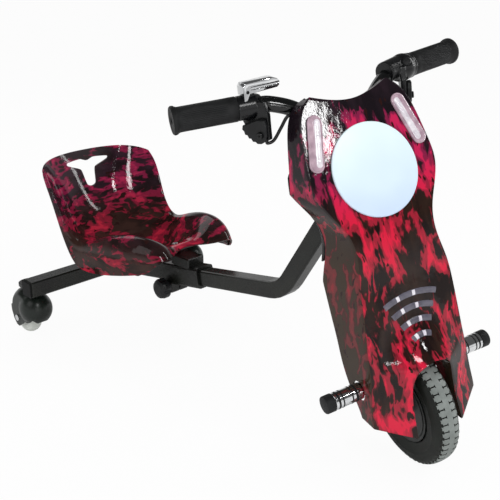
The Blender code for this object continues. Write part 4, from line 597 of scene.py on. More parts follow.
SHROUD_ROWS = (
    ((0, None, 545), (62, None, 561), (62, 120, 557)),
    ((0, None, 536), (80, None, 548), (82, 119.5, 550)),
    ((0, None, 518), (91.5, None, 525), (93.5, 120, 528)),
    ((0, None, 485), (97.5, None, 485), (100.5, 112, 488)),
    ((0, None, 452), (102.5, None, 452), (105.5, 105, 453)),
    ((0, None, 429), (95, None, 431), (107, 105, 432)),
    ((0, None, 410), (82, None, 410), (93.5, 97, 411)),
    ((0, None, 390), (68, 19, 388), (74.5, 88, 385)),
    ((0, 6, 358), (64.5, 6.5, 358), (71.5, 77.5, 352)),
    ((0, -7, 322), (74.5, -5, 322), (79, 78, 324)),
    ((0, -14.5, 289), (76.5, -13.5, 289), (83, 78, 300)),
    ((0, -29, 252), (79.2, -20, 252), (84.8, 58, 248)),
    ((0, -49, 229), (80.8, -24.5, 227), (85.4, 48, 223)),
    ((0, -72, 210), (82, -28.5, 206), (85.8, 42, 202)),
    ((24, -69, 203), (83, -32, 189), (86.1, 37, 186)),
    ((33.5, -61, 179), (84.5, -34.5, 171), (86.7, 28, 168)),
    ((35, -63, 148), (87, -36.5, 148), (87.2, 14, 147)),
    ((37, -72, 115), (89, -42, 124), (87.6, -6, 122)),
    ((38, -78, 97), (89.5, -43, 115), (87.6, -10, 113)),
)
ACROSS = (0.0, 0.5, 0.92, 1.0)
DIPPED_ROWS = 3
TOP_RIM = 0.020
ARCH_ROW = 13
ARCH_RIM = 0.036
SHARP_ROWS = (0, 18)
SHARP_REAR_ROWS = (5, 10)
SHROUD_WALL = 0.003
PEG_ROOM = 0.0025


def make_shroud():
    """The printed shell: face, side walls, two legs over the wheel, and the rim folded back along its top."""
    corner = len(ACROSS) - 1
    width = corner + 2
    count = len(SHROUD_ROWS)
    points = []
    for index, (first, last, rear) in enumerate(in_metres(SHROUD_ROWS)):
        for share in ACROSS:
            point = first.lerp(last, share)
            if index < DIPPED_ROWS:
                point.z = first.z + (last.z - first.z) * share ** 1.6
                point.y = face_y(point.z)
            points.append(point)
        points.append(rear)
    faces = quads(count, width, False)
    inwards = Vector((0, 1, -FACE_LEAN)).normalized()
    behind = [*range(len(points), len(points) + corner), corner + 1]
    points += [points[column] + inwards * TOP_RIM for column in range(corner)]
    faces += [(column + 1, column, behind[column], behind[column + 1]) for column in range(corner)]
    arch = [row * width for row in range(ARCH_ROW, count)]
    start = len(points)
    points += [points[index] + Vector((0, ARCH_RIM, 0)) for index in arch]
    faces += [(start + step, arch[step], arch[step + 1], start + step + 1) for step in range(len(arch) - 1)]
    sharp = [(row * width + corner, (row + 1) * width + corner) for row in range(count - 1)]
    sharp += [(column, column + 1) for column in range(corner)] + list(zip(arch, arch[1:]))
    pointed = [row * width + corner for row in SHARP_ROWS]
    pointed += [row * width + corner + 1 for row in (*SHARP_ROWS, *SHARP_REAR_ROWS)] + [arch[-1], len(points) - 1]
    shell = moulded_wall(piece("shroud_shell", points, faces, "shroud"), SHROUD_WALL, sharp, pointed)
    for _, side in SIDES:
        cut_prism(shell, circle(PEG_Y, PEG_Z, PEG_RADIUS + PEG_ROOM, 48), side * 0.070, side * 0.100, from_side)
    smooth(shell, 50)
    work = bmesh.new()
    work.from_mesh(shell.data)
    skin = BVHTree.FromBMesh(work)
    work.free()
    mount(shell, "red_and_black_print", "shroud_front")
    return skin


# Arc lamps: half width, height of the ends and height of the middle; the two painted highlights of each, white marks
# where a glint falls

ARCS = ((0.0436, 0.2821, 0.2905), (0.0342, 0.2654, 0.2730), (0.0250, 0.2495, 0.2550), (0.0154, 0.2336, 0.2372))
ARC_PAINTED_HIGHLIGHTS = ((-0.47, 0.14), (-0.50, 0.20), (-0.52, 0.26), (-0.55, 0.30))
ARC_BAND = 0.0086
ARC_HIGHLIGHT_HALF = 0.0024


def skin_spot(skin, x, z):
    """Where a line from straight ahead meets the shroud, and which way it faces there."""
    hits = [skin.ray_cast(Vector((x + shift, -0.3, z)), Vector((0, 1, 0))) for shift in (-0.003, 0.0, 0.003)]
    return hits[1][0], (hits[0][1] + hits[1][1] + hits[2][1]).normalized()


def ribbon(name, skin, places, width, low, high, finish, crown):
    """A low bar that follows the shroud through places seen from the front, a little crowned."""
    spots = [skin_spot(skin, x, z) for x, z in places]
    path = [hit for hit, _ in spots]
    across = 7
    rings = []
    for index, (hit, normal) in enumerate(spots):
        sideways = normal.cross(heading(path, index)).normalized() * (width / 2)
        shares = [2 * step / (across - 1) - 1 for step in range(across)]
        ring = [hit + normal * (high + crown * (1 - share ** 2)) + sideways * share for share in shares]
        rings.append(ring + [hit + normal * low + sideways, hit + normal * low - sideways])
    return settle(stacked(name, rings, finish), 50)


def arc_place(arc, share):
    """A point of an arc lamp; share runs from -1 at the rider's right to 1 at the left."""
    half_width, end_z, middle_z = arc
    return half_width * share, end_z + (middle_z - end_z) * (1 - share ** 2)


def make_arcs(skin):
    """Four frosted arcs let into the face, each with two white marks that are painted highlights."""
    for index, (arc, shares) in enumerate(zip(ARCS, ARC_PAINTED_HIGHLIGHTS)):
        places = [arc_place(arc, 2 * step / 28 - 1) for step in range(29)]
        mount(ribbon("arc_lamp_%d" % index, skin, places, ARC_BAND, -0.002, 0.0004, "guide", 0.0007),
              "light_guide", "arc_light")
        # Painted highlights: a raised white mark on the arc at each glint
        for number, share in enumerate(shares):
            places = [arc_place(arc, share + ARC_HIGHLIGHT_HALF / arc[0] * (2 * step / 6 - 1)) for step in range(7)]
            mount(ribbon("arc_painted_highlight_%d_%d" % (index, number), skin, places, ARC_BAND * 0.86, -0.001, 0.0010,
                         "led", 0.0006), "light_guide")


# Round panel and side lamps on the leaning face

FACE_UP = Vector((0, FACE_LEAN, 1)).normalized()
FACE_OUT = Vector((0, -1, FACE_LEAN)).normalized()
FACE = Matrix(((1, 0, 0, 0), (0, FACE_UP.y, FACE_OUT.y, FACE_Y), (0, FACE_UP.z, FACE_OUT.z, FACE_Z), (0, 0, 0, 1)))
DISC_RADIUS = 0.0666
DISC_ROLL = 0.0018
LED_TOP = (0.0681, 0.5287)
LED_LOW = (0.0834, 0.4794)
# Radius and height of each step of a lamp
LENS_STEPS = ((0.0106, 0.0003), (0.0110, 0.0012), (0.0108, 0.0030), (0.0101, 0.0038), (0.0092, 0.0037),
              (0.0086, 0.0030), (0.0080, 0.0031), (0.0050, 0.0037), (0.0015, 0.0040))
STRIP_STEPS = ((0.0046, 0.0028), (0.0045, 0.0043), (0.0040, 0.0047), (0.0015, 0.0050))
STRIP_INWARDS = 0.0030
CHIPS = 5
CHIP_RADIUS = 0.0016
CHIP_SPAN = (0.0048, 0.0056)


def make_disc():
    """The pale round panel with its rolled edge and barely domed middle."""
    inner = DISC_RADIUS - DISC_ROLL
    profile = [(0.0, 0.0003), (DISC_RADIUS - 0.001, 0.0003), (DISC_RADIUS, 0.0008), (DISC_RADIUS, 0.0020)]
    profile += [(inner + DISC_ROLL * cos(step * pi / 16), 0.0020 + DISC_ROLL * sin(step * pi / 16))
                for step in range(1, 9)]
    profile += [(inner * (1 - step / 10), 0.0038 + 0.0008 * (1 - (1 - step / 10) ** 2)) for step in range(1, 11)]
    disc = turned("round_panel", profile, (0, 0, 0), (0, 0, 1), "panel", 120)
    disc.data.transform(FACE)
    mount(settle(disc, 40), "pale_panel", "number_disc")


def capsule(top, low, radius, steps=14):
    """The outline of a bar with round ends, anticlockwise."""
    lean = atan2(top.y - low.y, top.x - low.x)
    outline = []
    for centre, start in ((top, lean - pi / 2), (low, lean + pi / 2)):
        for step in range(steps + 1):
            angle = start + pi * step / steps
            outline.append((centre.x + radius * cos(angle), centre.y + radius * sin(angle)))
    return outline


def capsule_lamp(name, top, low, steps, finish):
    """A capsule on the leaning face, built up through steps of radius and height."""
    made = stacked(name, [[Vector((*point, height)) for point in capsule(top, low, radius)]
                          for radius, height in steps], finish)
    made.data.transform(FACE)
    return settle(made, 40)


def make_lamps():
    """Two clear capsule lamps: a lens with a raised lip, a silver strip along its inner side, and its diodes."""
    for word, side in SIDES:
        top, low = [Vector((side * x, (z - FACE_Z) / FACE_UP.z)) for x, z in (LED_TOP, LED_LOW)]
        mount(capsule_lamp("side_lamp_" + word, top, low, LENS_STEPS, "lens_shade"), "lamp_lens", "led_strip_" + word)
        inner = Vector((-side, 0.0)) * STRIP_INWARDS
        mount(capsule_lamp("lamp_strip_" + word, top + inner, low + inner, STRIP_STEPS, "silver"), "lamp_lens")
        for number in range(CHIPS):
            centre = (top + inner).lerp(low + inner, (number + 0.5) / CHIPS)
            outline = circle(centre.x, centre.y, CHIP_RADIUS, 4, pi / 4)
            chip = prism("lamp_chip_%s_%d" % (word, number), outline, *CHIP_SPAN, upright, "led")
            chip = settle(rounded(chip, 0.0002, 1), 40)
            chip.data.transform(FACE)
            mount(chip, "lamp_lens")


# Seat: half of each row from its top down, in millimetres

SEAT_WALL = 0.0035
SEAT_ROWS = (
    ((0, 848, 338), (50, 845, 338), (96, 834, 335), (121, 810, 329), (131, 795, 323), (132, 800, 322)),
    ((0, 844, 316), (50, 840, 315), (97, 824, 313), (122, 797, 310), (134, 776, 306), (136, 785, 302)),
    ((0, 836, 285), (48, 831, 285), (93, 810, 283), (118, 780, 280), (131, 757, 276), (134, 770, 270)),
    ((0, 820, 240), (46, 814, 240), (90, 791, 240), (116, 762, 238), (129, 742, 235), (132, 755, 226)),
    ((0, 795, 200), (45, 789, 201), (88, 766, 205), (114, 741, 210), (128, 725, 210), (133, 734, 188)),
    ((0, 752, 170), (44, 746, 172), (86, 730, 184), (112, 712, 200), (130, 701, 200), (137, 702, 157)),
    ((0, 700, 160), (43, 697, 163), (80, 688, 184), (107, 680, 207), (131, 674, 202), (138, 672, 152)),
    ((0, 650, 163), (41, 648, 168), (74, 642, 200), (102, 634, 231), (131, 630, 211), (138, 630, 156)),
    ((0, 605, 175), (39, 602, 183), (69, 592, 221), (98, 586, 247), (127, 586, 216), (134, 588, 164)),
    ((0, 565, 194), (37, 558, 203), (65, 543, 234), (93, 536, 248), (119, 542, 216), (125, 550, 172)),
    ((0, 538, 209), (35, 523, 214), (62, 506, 231), (87, 500, 235), (106, 512, 206), (112, 522, 178)),
    ((0, 530, 208), (36, 506, 204), (62, 488, 208), (84, 484, 210), (99, 498, 195), (103, 508, 183)),
)
SEAT_CUT = ((0.0000, 0.3145), (0.0100, 0.3180), (0.0160, 0.3205), (0.0490, 0.3180), (0.0520, 0.3155),
            (0.0500, 0.3120), (0.0340, 0.3055), (0.0210, 0.3010), (0.0165, 0.2970), (0.0125, 0.2710),
            (0.0100, 0.2655), (0.0000, 0.2620))
SEAT_CUT_DEPTH = (0.76, 0.92)


def make_seat():
    """The printed bucket seat: a rounded shell with a Y-shaped hole through its back."""
    rows = in_metres(SEAT_ROWS)
    count = len(rows[0])
    seat = piece("bucket_seat", [point for row in rows for point in row], quads(len(rows), count, False), "seat")
    moulded_wall(seat, SEAT_WALL)
    outline = [*SEAT_CUT, *[(-x, z) for x, z in reversed(SEAT_CUT[1:-1])]]
    # Corners of the hole are rounded by cutting each one off twice
    for _ in range(2):
        outline = [(here[0] * (1 - share) + after[0] * share, here[1] * (1 - share) + after[1] * share)
                   for here, after in zip(outline, outline[1:] + outline[:1]) for share in (0.22, 0.78)]
    cut_prism(seat, outline, *SEAT_CUT_DEPTH, from_front)
    mount(smooth(seat, 60), "red_and_black_print", "seat_shell", body="seat", place=MACHINE)


# Front wheel

TREAD_HALF = 0.0150
TYRE_HALF = 0.0193
PITCHES = 52
GROOVE_DEPTH = 0.0016
# The side wall below the tread: how far in from the tyre's radius and out from its half width, in millimetres
SIDE_WALL = ((5.2, -3.0), (8.5, -0.8), (12.5, 0.2), (18.0, 0.2), (19.0, 0.7), (20.5, 0.7), (21.5, 0.1),
             (28.0, -0.6), (33.0, -2.2))
BEAD = ((0.0585, TYRE_HALF - 0.0030), (0.0570, 0.0150), (0.0564, 0.0140))


def tread_groove(u, v):
    """Depth of the tread's pattern, 0 to 1, at u metres from the middle and v pitches round the tyre."""
    offset = 0.25 if u < 0 else 0.75
    away = abs((v % 1.0 - offset + 0.5) % 1.0 - 0.5)
    reach = abs(u)
    notch = reach > 0.0048 and away < 0.07
    tick = abs(reach - 0.0052) < 0.0006 and away < 0.19
    step = reach > 0.0126 and away < 0.27
    return 1.0 if notch or tick or step else 0.0


def make_tyre():
    """Small balloon tyre: smooth dark side walls with a moulded ring, and a grey tread of crossed blocks."""
    rows_per_pitch = 12
    rows = PITCHES * rows_per_pitch
    columns = 47
    wall = [(TYRE_RADIUS - down / 1000, TYRE_HALF + out / 1000) for down, out in SIDE_WALL] + list(BEAD)
    tread = [(2 * step / (columns - 1) - 1) * TREAD_HALF for step in range(columns)]
    verts = []
    for row in range(rows):
        angle = 2 * pi * row / rows
        middle = [(TYRE_RADIUS - 0.0030 * (abs(u) / TREAD_HALF) ** 3
                   - GROOVE_DEPTH * tread_groove(u, row / rows_per_pitch), u) for u in tread]
        for radius, x in [(radius, -x) for radius, x in reversed(wall)] + middle + wall:
            verts.append((x, radius * cos(angle), radius * sin(angle)))
    count = columns + 2 * len(wall)
    faces = []
    grey = []
    for row in range(rows):
        here, after = row * count, (row + 1) % rows * count
        for column in range(count):
            beside = (column + 1) % count
            faces.append((here + column, here + beside, after + beside, after + column))
            step = column - len(wall)
            inside = 0 <= step < columns - 1
            middle = (tread[step] + tread[step + 1]) / 2 if inside else 0.0
            grey.append(inside and abs(middle) < 0.0146 and tread_groove(middle, (row + 0.5) / rows_per_pitch) < 0.5)
    tyre = piece("front_tyre", verts, faces, "sidewall")
    tyre.data.materials.append(FINISH["tread"])
    for polygon, worn in zip(tyre.data.polygons, grey):
        polygon.material_index = 1 if worn else 0
    mount(smooth(tyre, 40), "tyre_rubber", "tyre", body="front_wheel", place=FRONT @ Matrix.Translation(WHEEL_CENTRE))


# Foot pegs: width of each band from the outer end inwards, and how far its rubber stands out, or None where
# the chrome is bare, in millimetres
PEG_BANDS = ((14.0, 0.7), (4.5, None), (3.5, 0.3), (3.5, None), (2.5, 0.3), (12.5, None), (2.5, 0.3),
             (4.0, None), (4.0, 0.3))


def make_pegs():
    """Foot pegs: chromed bars with rubber rings round them and a rubber end."""
    core = [(0.0, 0.033), (0.005, 0.033), (0.005, 0.0403), (PEG_RADIUS - 0.0006, 0.0403), (PEG_RADIUS, 0.0409),
            (PEG_RADIUS, PEG_END - 0.015), (PEG_RADIUS - 0.0006, PEG_END - 0.0142), (0.0, PEG_END - 0.0142)]
    for word, side in SIDES:
        line = Vector((0, PEG_Y, PEG_Z)), Vector((side, PEG_Y, PEG_Z))
        mount(settle(turned("peg_bar_" + word, core, *line, "chrome"), 30), "chromed_steel", "peg_" + word)
        place = PEG_END
        for number, (width, out) in enumerate(PEG_BANDS):
            low = place - width / 1000
            if out is not None:
                radius = PEG_RADIUS + out / 1000
                soft = 0.0004 if number else 0.0018
                inside = PEG_RADIUS - 0.001 if number else 0.0
                ring = [(inside, place), (radius - soft, place), (radius - soft * 0.3, place - soft * 0.3),
                        (radius, place - soft), (radius, low + 0.0004), (radius - 0.0004, low), (inside, low)]
                rubber = settle(turned("peg_ring_%s_%d" % (word, number), ring, *line, "rubber"), 40)
                mount(rubber, "black_rubber", *([] if number else ["peg_cap_" + word]))
            place = low


# Handlebar

BAR_CLAMP = Vector((0.0, 0.125, 0.512))
BAR_RADIUS = 0.0111
BAR_BEND = ((0.1130, 0.1575, 0.5526), (0.0980, 0.1512, 0.5510), (0.0740, 0.1405, 0.5420),
            (0.0520, 0.1310, 0.5270), (0.0340, 0.1262, 0.5150))
BAR_REACH = (GRIP_OUTER - GRIP_INNER).normalized()
GRIP_RADIUS = 0.0174
RIBS_FROM = 0.010
RIBS_TO = 0.083
RIB_DEPTH = 0.0006


def make_bar():
    """The bent bar, smooth and gloss black."""
    half = smooth_path([GRIP_OUTER - BAR_REACH * 0.004, GRIP_INNER, *BAR_BEND, BAR_CLAMP + Vector((0.022, 0, 0))], 7)
    path = [*half, *[Vector((-p.x, p.y, p.z)) for p in reversed(half)]]
    mount(settle(tube("bent_bar", path, BAR_RADIUS, "gloss_steel", 32), 40), "black_painted_steel", "handlebar")


def grip_relief(radius, distance, angle):
    """Moulded relief of the grip: fine lengthwise ribs in two panels, with wavy edges."""
    if not RIBS_FROM < distance < RIBS_TO or radius < 0.0165:
        return radius
    swing = 0.5 + 0.5 * cos(angle * 2)
    rib = 0.5 + 0.5 * cos(angle * 44) if swing > 0.35 + 0.20 * sin(distance * 85) else 0.25
    fade = min(1.0, (distance - RIBS_FROM) / 0.004, (RIBS_TO - distance) / 0.004)
    return radius - RIB_DEPTH * fade * rib


def make_grips():
    """Rubber grips with a flared outer end and ribbed palms."""
    length = (GRIP_OUTER - GRIP_INNER).length
    bore = BAR_RADIUS + 0.0002
    profile = [(bore, 0.0), (0.0168, 0.0), (GRIP_RADIUS, 0.0006)]
    profile += [(GRIP_RADIUS, 0.0090 + (length - 0.0185) * step / 34) for step in range(35)]
    profile += [(0.0182, length - 0.0070), (0.0194, length - 0.0054), (0.0198, length - 0.0040),
                (0.0198, length - 0.0016), (0.0186, length), (0.0060, length), (0.0045, length - 0.0008),
                (0.0045, length - 0.0030), (bore, length - 0.0032)]
    for word, side in SIDES:
        line = [Vector((side * place.x, place.y, place.z)) for place in (GRIP_INNER, GRIP_OUTER)]
        grip = turned("ribbed_grip_" + word, profile, *line, "rubber", 176, grip_relief)
        mount(settle(grip, 50), "black_rubber", "grip_" + word)


def bar_place(x):
    """The bar's middle line at this distance from the middle, near the levers."""
    inner = Vector(BAR_BEND[0])
    return inner.lerp(GRIP_INNER, (x - inner.x) / (GRIP_INNER.x - inner.x))


LEVER_PIVOT = Vector((0.124, 0.1384, 0.516))
LEVER_PLACE = Matrix.Translation(LEVER_PIVOT) @ Matrix.Rotation(radians(59.0), 4, "Z")
THUMB = Vector((0.1320, 0.1580, 0.5750))
POD_FACING = Vector((-0.10, -0.80, 0.60)).normalized()
POD_RADIUS = 0.0204
FIN = ((-0.0100, -0.0090), (0.0080, -0.0090), (0.0200, 0.0030), (0.0280, 0.0100), (0.0330, 0.0210),
       (0.0350, 0.0360), (0.0220, 0.0460), (-0.0060, 0.0440), (-0.0110, 0.0260))
NECK = ((THUMB.x - 0.0215, 0.560), (THUMB.x + 0.003, 0.560), (THUMB.x + 0.003, THUMB.z + 0.0045),
        (THUMB.x - 0.003, THUMB.z + 0.0045), (THUMB.x - 0.003, 0.5705), (THUMB.x - 0.0195, 0.5675))
PADDLE = ((0.1380, 0.5595), (0.1380, 0.5830), (0.1350, 0.5870), (0.0930, 0.5870), (0.0858, 0.5848),
          (0.0825, 0.5800), (0.0830, 0.5758), (0.0870, 0.5730), (0.1285, 0.5722), (0.1300, 0.5690), (0.1366, 0.5595))
CHANNEL = ((0.0870, 0.55), (0.1357, 0.55), (0.1357, 0.5842), (0.0870, 0.5842))
# Places along the bar are distances from the middle of the machine
SLEEVE_RADIUS = {"right": 0.0172, "left": 0.0190}
SLEEVE_FROM = 0.1165
COLLAR_RADIUS = 0.0125
COLLAR_FROM = 0.1090
FIN_SPAN = (0.0041, 0.0125)
POD_AT = 0.1290
POD_DEPTH = 0.0194
SHOULDER_RADIUS = 0.0160
SHOULDER = (bar_place(0.1180) + Vector((0, 0, 0.003)), Vector((0.0880, 0.1480, 0.5545)))
POCKET_AT = 0.1285
POCKET_RADIUS = 0.0070
POCKET_SPAN = (0.0135, 0.035)
PIVOT_DEPTHS = (0.0115, -0.0037, -0.0067)
PIVOT_RADIUS = 0.0025
PIVOT_HEAD_RADIUS = 0.0050
CABLE_BOSS = (0.0040, (0.1165, 0.1430, 0.512), (0.1135, 0.1465, 0.5035))
NECK_HALF = 0.006
THUMB_PIN_RADIUS = 0.0020
THUMB_PIN_HALF = 0.0098
PADDLE_HALF = 0.0100
CHANNEL_HALF = 0.0072
PADDLE_BORE = 0.0024
SLEEVE_ROOM = 0.0186
GROOVE_RADIUS = 0.0045
GROOVE_Y = THUMB.y - 0.0138
GROOVE_Z = 0.5790
GROOVE_X = (0.127, 0.060)


def make_housings():
    """The black mouldings round the bar beside the grips: each flows down into the fin that carries its
    lever. The right one has the thumb lever's neck, the left one a domed pod with a pocket for the button."""
    end = GRIP_INNER - BAR_REACH * 0.0004
    for word, side in SIDES:
        body = bar(SLEEVE_RADIUS[word], bar_place(SLEEVE_FROM), end)
        parts = [solid(FIN, *FIN_SPAN, lambda *spot: LEVER_PLACE @ from_front(*spot)),
                 bar(COLLAR_RADIUS, bar_place(COLLAR_FROM), end)]
        if side > 0:
            middle = bar_place(POD_AT)
            dome = [(POD_RADIUS * sin(pi * step / 16) if 0 < step < 16 else 0.0,
                     POD_RADIUS * (1 - cos(pi * step / 16))) for step in range(17)]
            parts.append(turned("part", dome, middle - POD_FACING * POD_DEPTH, middle, "abs", 40))
            parts.append(bar(SHOULDER_RADIUS, *SHOULDER))
        housing = grown_together(joined(body, *parts), 0.0011, 9)
        head, collar, tail = [LEVER_PLACE @ Vector((0, depth, 0)) for depth in PIVOT_DEPTHS]
        extras = [bar(PIVOT_RADIUS, head, tail), bar(PIVOT_HEAD_RADIUS, collar, tail), bar(*CABLE_BOSS)]
        if side < 0:
            half_pin = Vector((0, THUMB_PIN_HALF, 0))
            extras.append(solid(NECK, THUMB.y - NECK_HALF, THUMB.y + NECK_HALF, from_front, 0.0008))
            extras.append(bar(THUMB_PIN_RADIUS, THUMB - half_pin, THUMB + half_pin))
        else:
            pocket = along(bar_place(POCKET_AT), bar_place(POCKET_AT) + POD_FACING)
            cut_prism(housing, circle(0.0, 0.0, POCKET_RADIUS, 24), *POCKET_SPAN,
                      lambda *spot: pocket @ upright(*spot))
        joined(housing, *extras)
        housing.name = "lever_perch_" + word
        if side < 0:
            mirrored(housing)
        mount(settle(coat(housing, "gloss_abs"), 45), "black_abs", "lever_housing_" + word)


def make_thumb_paddle():
    """The chromed thumb lever: a folded plate with a rolled top edge, a groove along its face, and a pointed
    leg that straddles the neck."""
    paddle = solid(PADDLE, THUMB.y - PADDLE_HALF, THUMB.y + PADDLE_HALF, from_front, 0.0022, "chrome")
    cut_prism(paddle, CHANNEL, THUMB.y - CHANNEL_HALF, THUMB.y + CHANNEL_HALF, from_front)
    cut_prism(paddle, circle(THUMB.x, THUMB.z, PADDLE_BORE, 24), 0.10, 0.20, from_front)
    groove = [Vector((x, GROOVE_Y, GROOVE_Z)) for x in GROOVE_X]
    for radius, start, end in ((SLEEVE_ROOM, bar_place(0.150), bar_place(0.105)), (GROOVE_RADIUS, *groove)):
        cut_away(paddle, bar(radius, start, end, "chrome", 48))
    paddle.name = "thumb_paddle"
    mount(settle(coat(mirrored(paddle), "chrome"), 28), "chromed_steel", "thumb_lever", body="thumb_lever")


# Casters, seen from the side with the axle's line at their rear

HOOD_CENTRE = (0.0030, 0.0643)
HOOD_RADIUS = 0.0430
HOOD_HALF = 0.0345
HOOD_INSIDE = 0.0210
EAR_HALF = 0.0247
FENDER = (-0.0150, 0.0660)
FENDER_RADIUS = 0.0345
FENDER_HALF = 0.0320
CASTER_AXLE = (0.0167, 0.0420)
WHEEL_RIM = 0.0235
WHEEL_CROWN = 0.0125
WHEEL_HALF = 0.0135
CASTER_X = 0.2007
CASTER_Y = 0.768
# What is cut off under the hood, the flat cheek behind its fender, the ear that reaches down from the cheek
# round the axle, and the mouth for the wheel
HOOD_TOP = HOOD_CENTRE[1]
BELOW = ((0.070, HOOD_TOP - 0.006), (0.0456, HOOD_TOP - 0.006), (0.0350, 0.036), (0.0245, 0.0225),
         (0.0120, 0.0215), (0.0005, 0.0330), (-0.0100, 0.0400), (-0.0350, 0.0410), (-0.0440, 0.0460),
         (-0.070, 0.053), (-0.070, -0.030), (0.070, -0.030))
CHEEK = ((-0.0200, -0.030), (0.080, -0.030), (0.080, 0.130), (-0.0200, 0.130))
EAR = ((-0.0060, 0.066), (0.0400, 0.066), (0.0385, 0.050), (0.0330, 0.036), (0.0235, 0.0245), (0.0135, 0.0235),
       (0.0030, 0.0320), (-0.0040, 0.044))
MOUTH = ((-0.0360, -0.030), (0.080, -0.030), (0.080, HOOD_TOP + 0.0198), (0.012, HOOD_TOP + 0.0198), (-0.0360, 0.050))


def domed(radius, half, power, centre=HOOD_CENTRE, steps=24):
    """A nylon body turned about the X axis, whose profile is a full, rounded dome at both ends."""
    profile = []
    for step in range(steps + 1):
        angle = pi * step / steps - pi / 2
        profile.append((radius * abs(cos(angle)) ** (2 / power) if 0 < step < steps else 0.0,
                        half * (abs(sin(angle)) ** (2 / power)) * (1 if angle > 0 else -1)))
    start = Vector((0, *centre))
    return settle(turned("part", profile, start, start + Vector((1, 0, 0)), "nylon", 56))


def make_casters():
    """Rounded nylon hoods with a flat seat round each axle end, and white wheels with a crowned tread."""
    tread = [(WHEEL_RIM + WHEEL_CROWN * cos(pi * step / 16 - pi / 2) ** 0.8 if 0 < step < 16 else WHEEL_RIM,
              WHEEL_HALF * sin(pi * step / 16 - pi / 2)) for step in range(17)]
    profile = [(0.0045, -0.0202), (0.0100, -0.0202), (0.0105, -0.0125), (0.0180, -0.0118), *tread,
               (0.0180, 0.0118), (0.0105, 0.0125), (0.0100, 0.0202), (0.0045, 0.0202)]
    axle = Vector((0, *CASTER_AXLE))
    for word, side in SIDES:
        place = MACHINE @ Matrix.Translation((side * CASTER_X, CASTER_Y, 0))
        hood = domed(HOOD_RADIUS, HOOD_HALF, 2.05)
        for low, high in ((-0.05, -EAR_HALF), (EAR_HALF, 0.05)):
            cut_prism(hood, CHEEK, low, high, from_side)
        ears = [solid(EAR, low, high, from_side, 0.0008, "nylon")
                for low, high in ((-EAR_HALF, -HOOD_INSIDE - 0.0002), (HOOD_INSIDE + 0.0002, EAR_HALF))]
        fender = domed(FENDER_RADIUS, FENDER_HALF, 2.0, FENDER)
        hood = grown_together(joined(hood, fender, *ears), 0.0016, 2)
        cut_prism(hood, BELOW, -0.05, 0.05, from_side)
        cut_away(hood, domed(HOOD_RADIUS - 0.0030, HOOD_INSIDE, 3.2))
        cut_prism(hood, MOUTH, -HOOD_INSIDE, HOOD_INSIDE, from_side)
        grown_together(hood, 0.0012, 3)
        hood.name = "rounded_hood_" + word
        mount(coat(hood, "nylon"), "grey_green_nylon", "caster_hood_" + word, body="caster_" + word, place=place)
        wheel = turned("crowned_wheel_" + word, profile, axle, axle + Vector((1, 0, 0)), "tread_white", 72)
        mount(settle(wheel, 35), "white_polyurethane", "caster_wheel_" + word, body="caster_wheel_" + word,
              place=place)


# Cables: they end above the controller, at this height along and ahead of the steering axis

CABLE_LOW = 0.4216
CABLE_AHEAD = 0.1096
CABLE_X = 0.029
CABLE_RADIUS = 0.0024
CABLE_ROUTE = ((0.1130, 0.1468, 0.5025), (0.1115, 0.1470, 0.4990), (0.1030, 0.1440, 0.5020), (0.0945, 0.1350, 0.5200),
               (0.0860, 0.1275, 0.5360), (0.0720, 0.1225, 0.5370), (0.0590, 0.1160, 0.5240), (0.0490, 0.1060, 0.5000),
               (0.0400, 0.0880, 0.4720), *[straight(CABLE_LOW + rise, CABLE_AHEAD, CABLE_X)
                                           for rise in (0.009, 0.003, 0.0)])


def make_cables():
    """The two control cables from the levers into the shroud."""
    for word, side in SIDES:
        path = smooth_path([(side * x, y, z) for x, y, z in CABLE_ROUTE], 6)
        cable = tube("control_cable_" + word, path, CABLE_RADIUS, "jacket", 14)
        mount(settle(cable, 60), "cable_jacket", "cable_" + word)


# Frame nodes that keep their shape, by finish

KEPT = {
    "steel": ("main_tube", "head_tube", "rear_cross_tube", "rear_socket", "caster_bracket_right",
              "caster_bracket_left", "seat_clamp", "fork", "stem", "battery_cage"),
    "zinc": ("headset_cup_lower", "headset_cup_upper", "socket_bolt", "caster_stem_right", "caster_stem_left",
             "seat_bolt_front", "seat_bolt_rear", "clamp_bolt"),
    "chrome": ("caster_axle_right", "caster_axle_left", "axle_nut_right", "axle_nut_left"),
    "alloy": ("front_axle", "controller"),
    "hub_enamel": ("hub_cover", "hub_shell"),
    "matt_abs": ("end_cap_right", "end_cap_left"),
    "abs": ("clamp_knob", "switch_button", "shroud_rear", "battery_pack",
            "charge_port", "trigger_right", "trigger_left"),
    "rubber": ("charge_cap",),
    "copper": ("motor_stator",),
}


def dress_frame():
    """Give every frame node that stays in view its finish."""
    for finish, names in KEPT.items():
        for name in names:
            coat(NODES[name], finish)


# Studio

WHITE = (1.0, 1.0, 1.0, 1.0)
FLOOR_HALF = 40.0
FLOOR_GLOW = 0.94
FLOOR_DROP = 0.0005
WORLD_LIGHT = 0.62
CEILING = 0.10
# Soft boxes: name, place, aim, width, height and power
LAMPS = (("key", (-0.80, -1.45, 1.45), (0.0, 0.0, 0.25), 0.24, 0.36, 6.6),
         ("horn_light", (0.115, -1.50, 1.32), (-0.10, -0.26, 0.49), 0.08, 0.20, 2.6),
         ("edge_glint", (-1.15, -1.65, 0.55), (0.0, -0.30, 0.35), 0.03, 0.50, 1.6),
         ("strip", (1.35, -0.70, 1.05), (0.0, 0.3, 0.2), 0.12, 1.0, 5.0),
         ("fill", (-2.0, 0.3, 1.5), (0.0, 0.0, 0.3), 1.2, 1.2, 6.0),
         ("back", (0.6, 2.4, 2.0), (0.0, 0.1, 0.3), 1.6, 1.2, 9.0))
CAMERA_AT = Vector((-0.905, -0.564, 0.732))
CAMERA_AZIMUTH = radians(-44.74)
CAMERA_ELEVATION = radians(20.78)
CAMERA_LENS = 56.9


def in_scene(name, data, place, away):
    """A lamp or camera at its place, looking against the way that away points."""
    obj = bpy.data.objects.new(name, data)
    SCENE.collection.objects.link(obj)
    obj.location = place
    obj.rotation_euler = away.to_track_quat("Z", "Y").to_euler()
    return obj


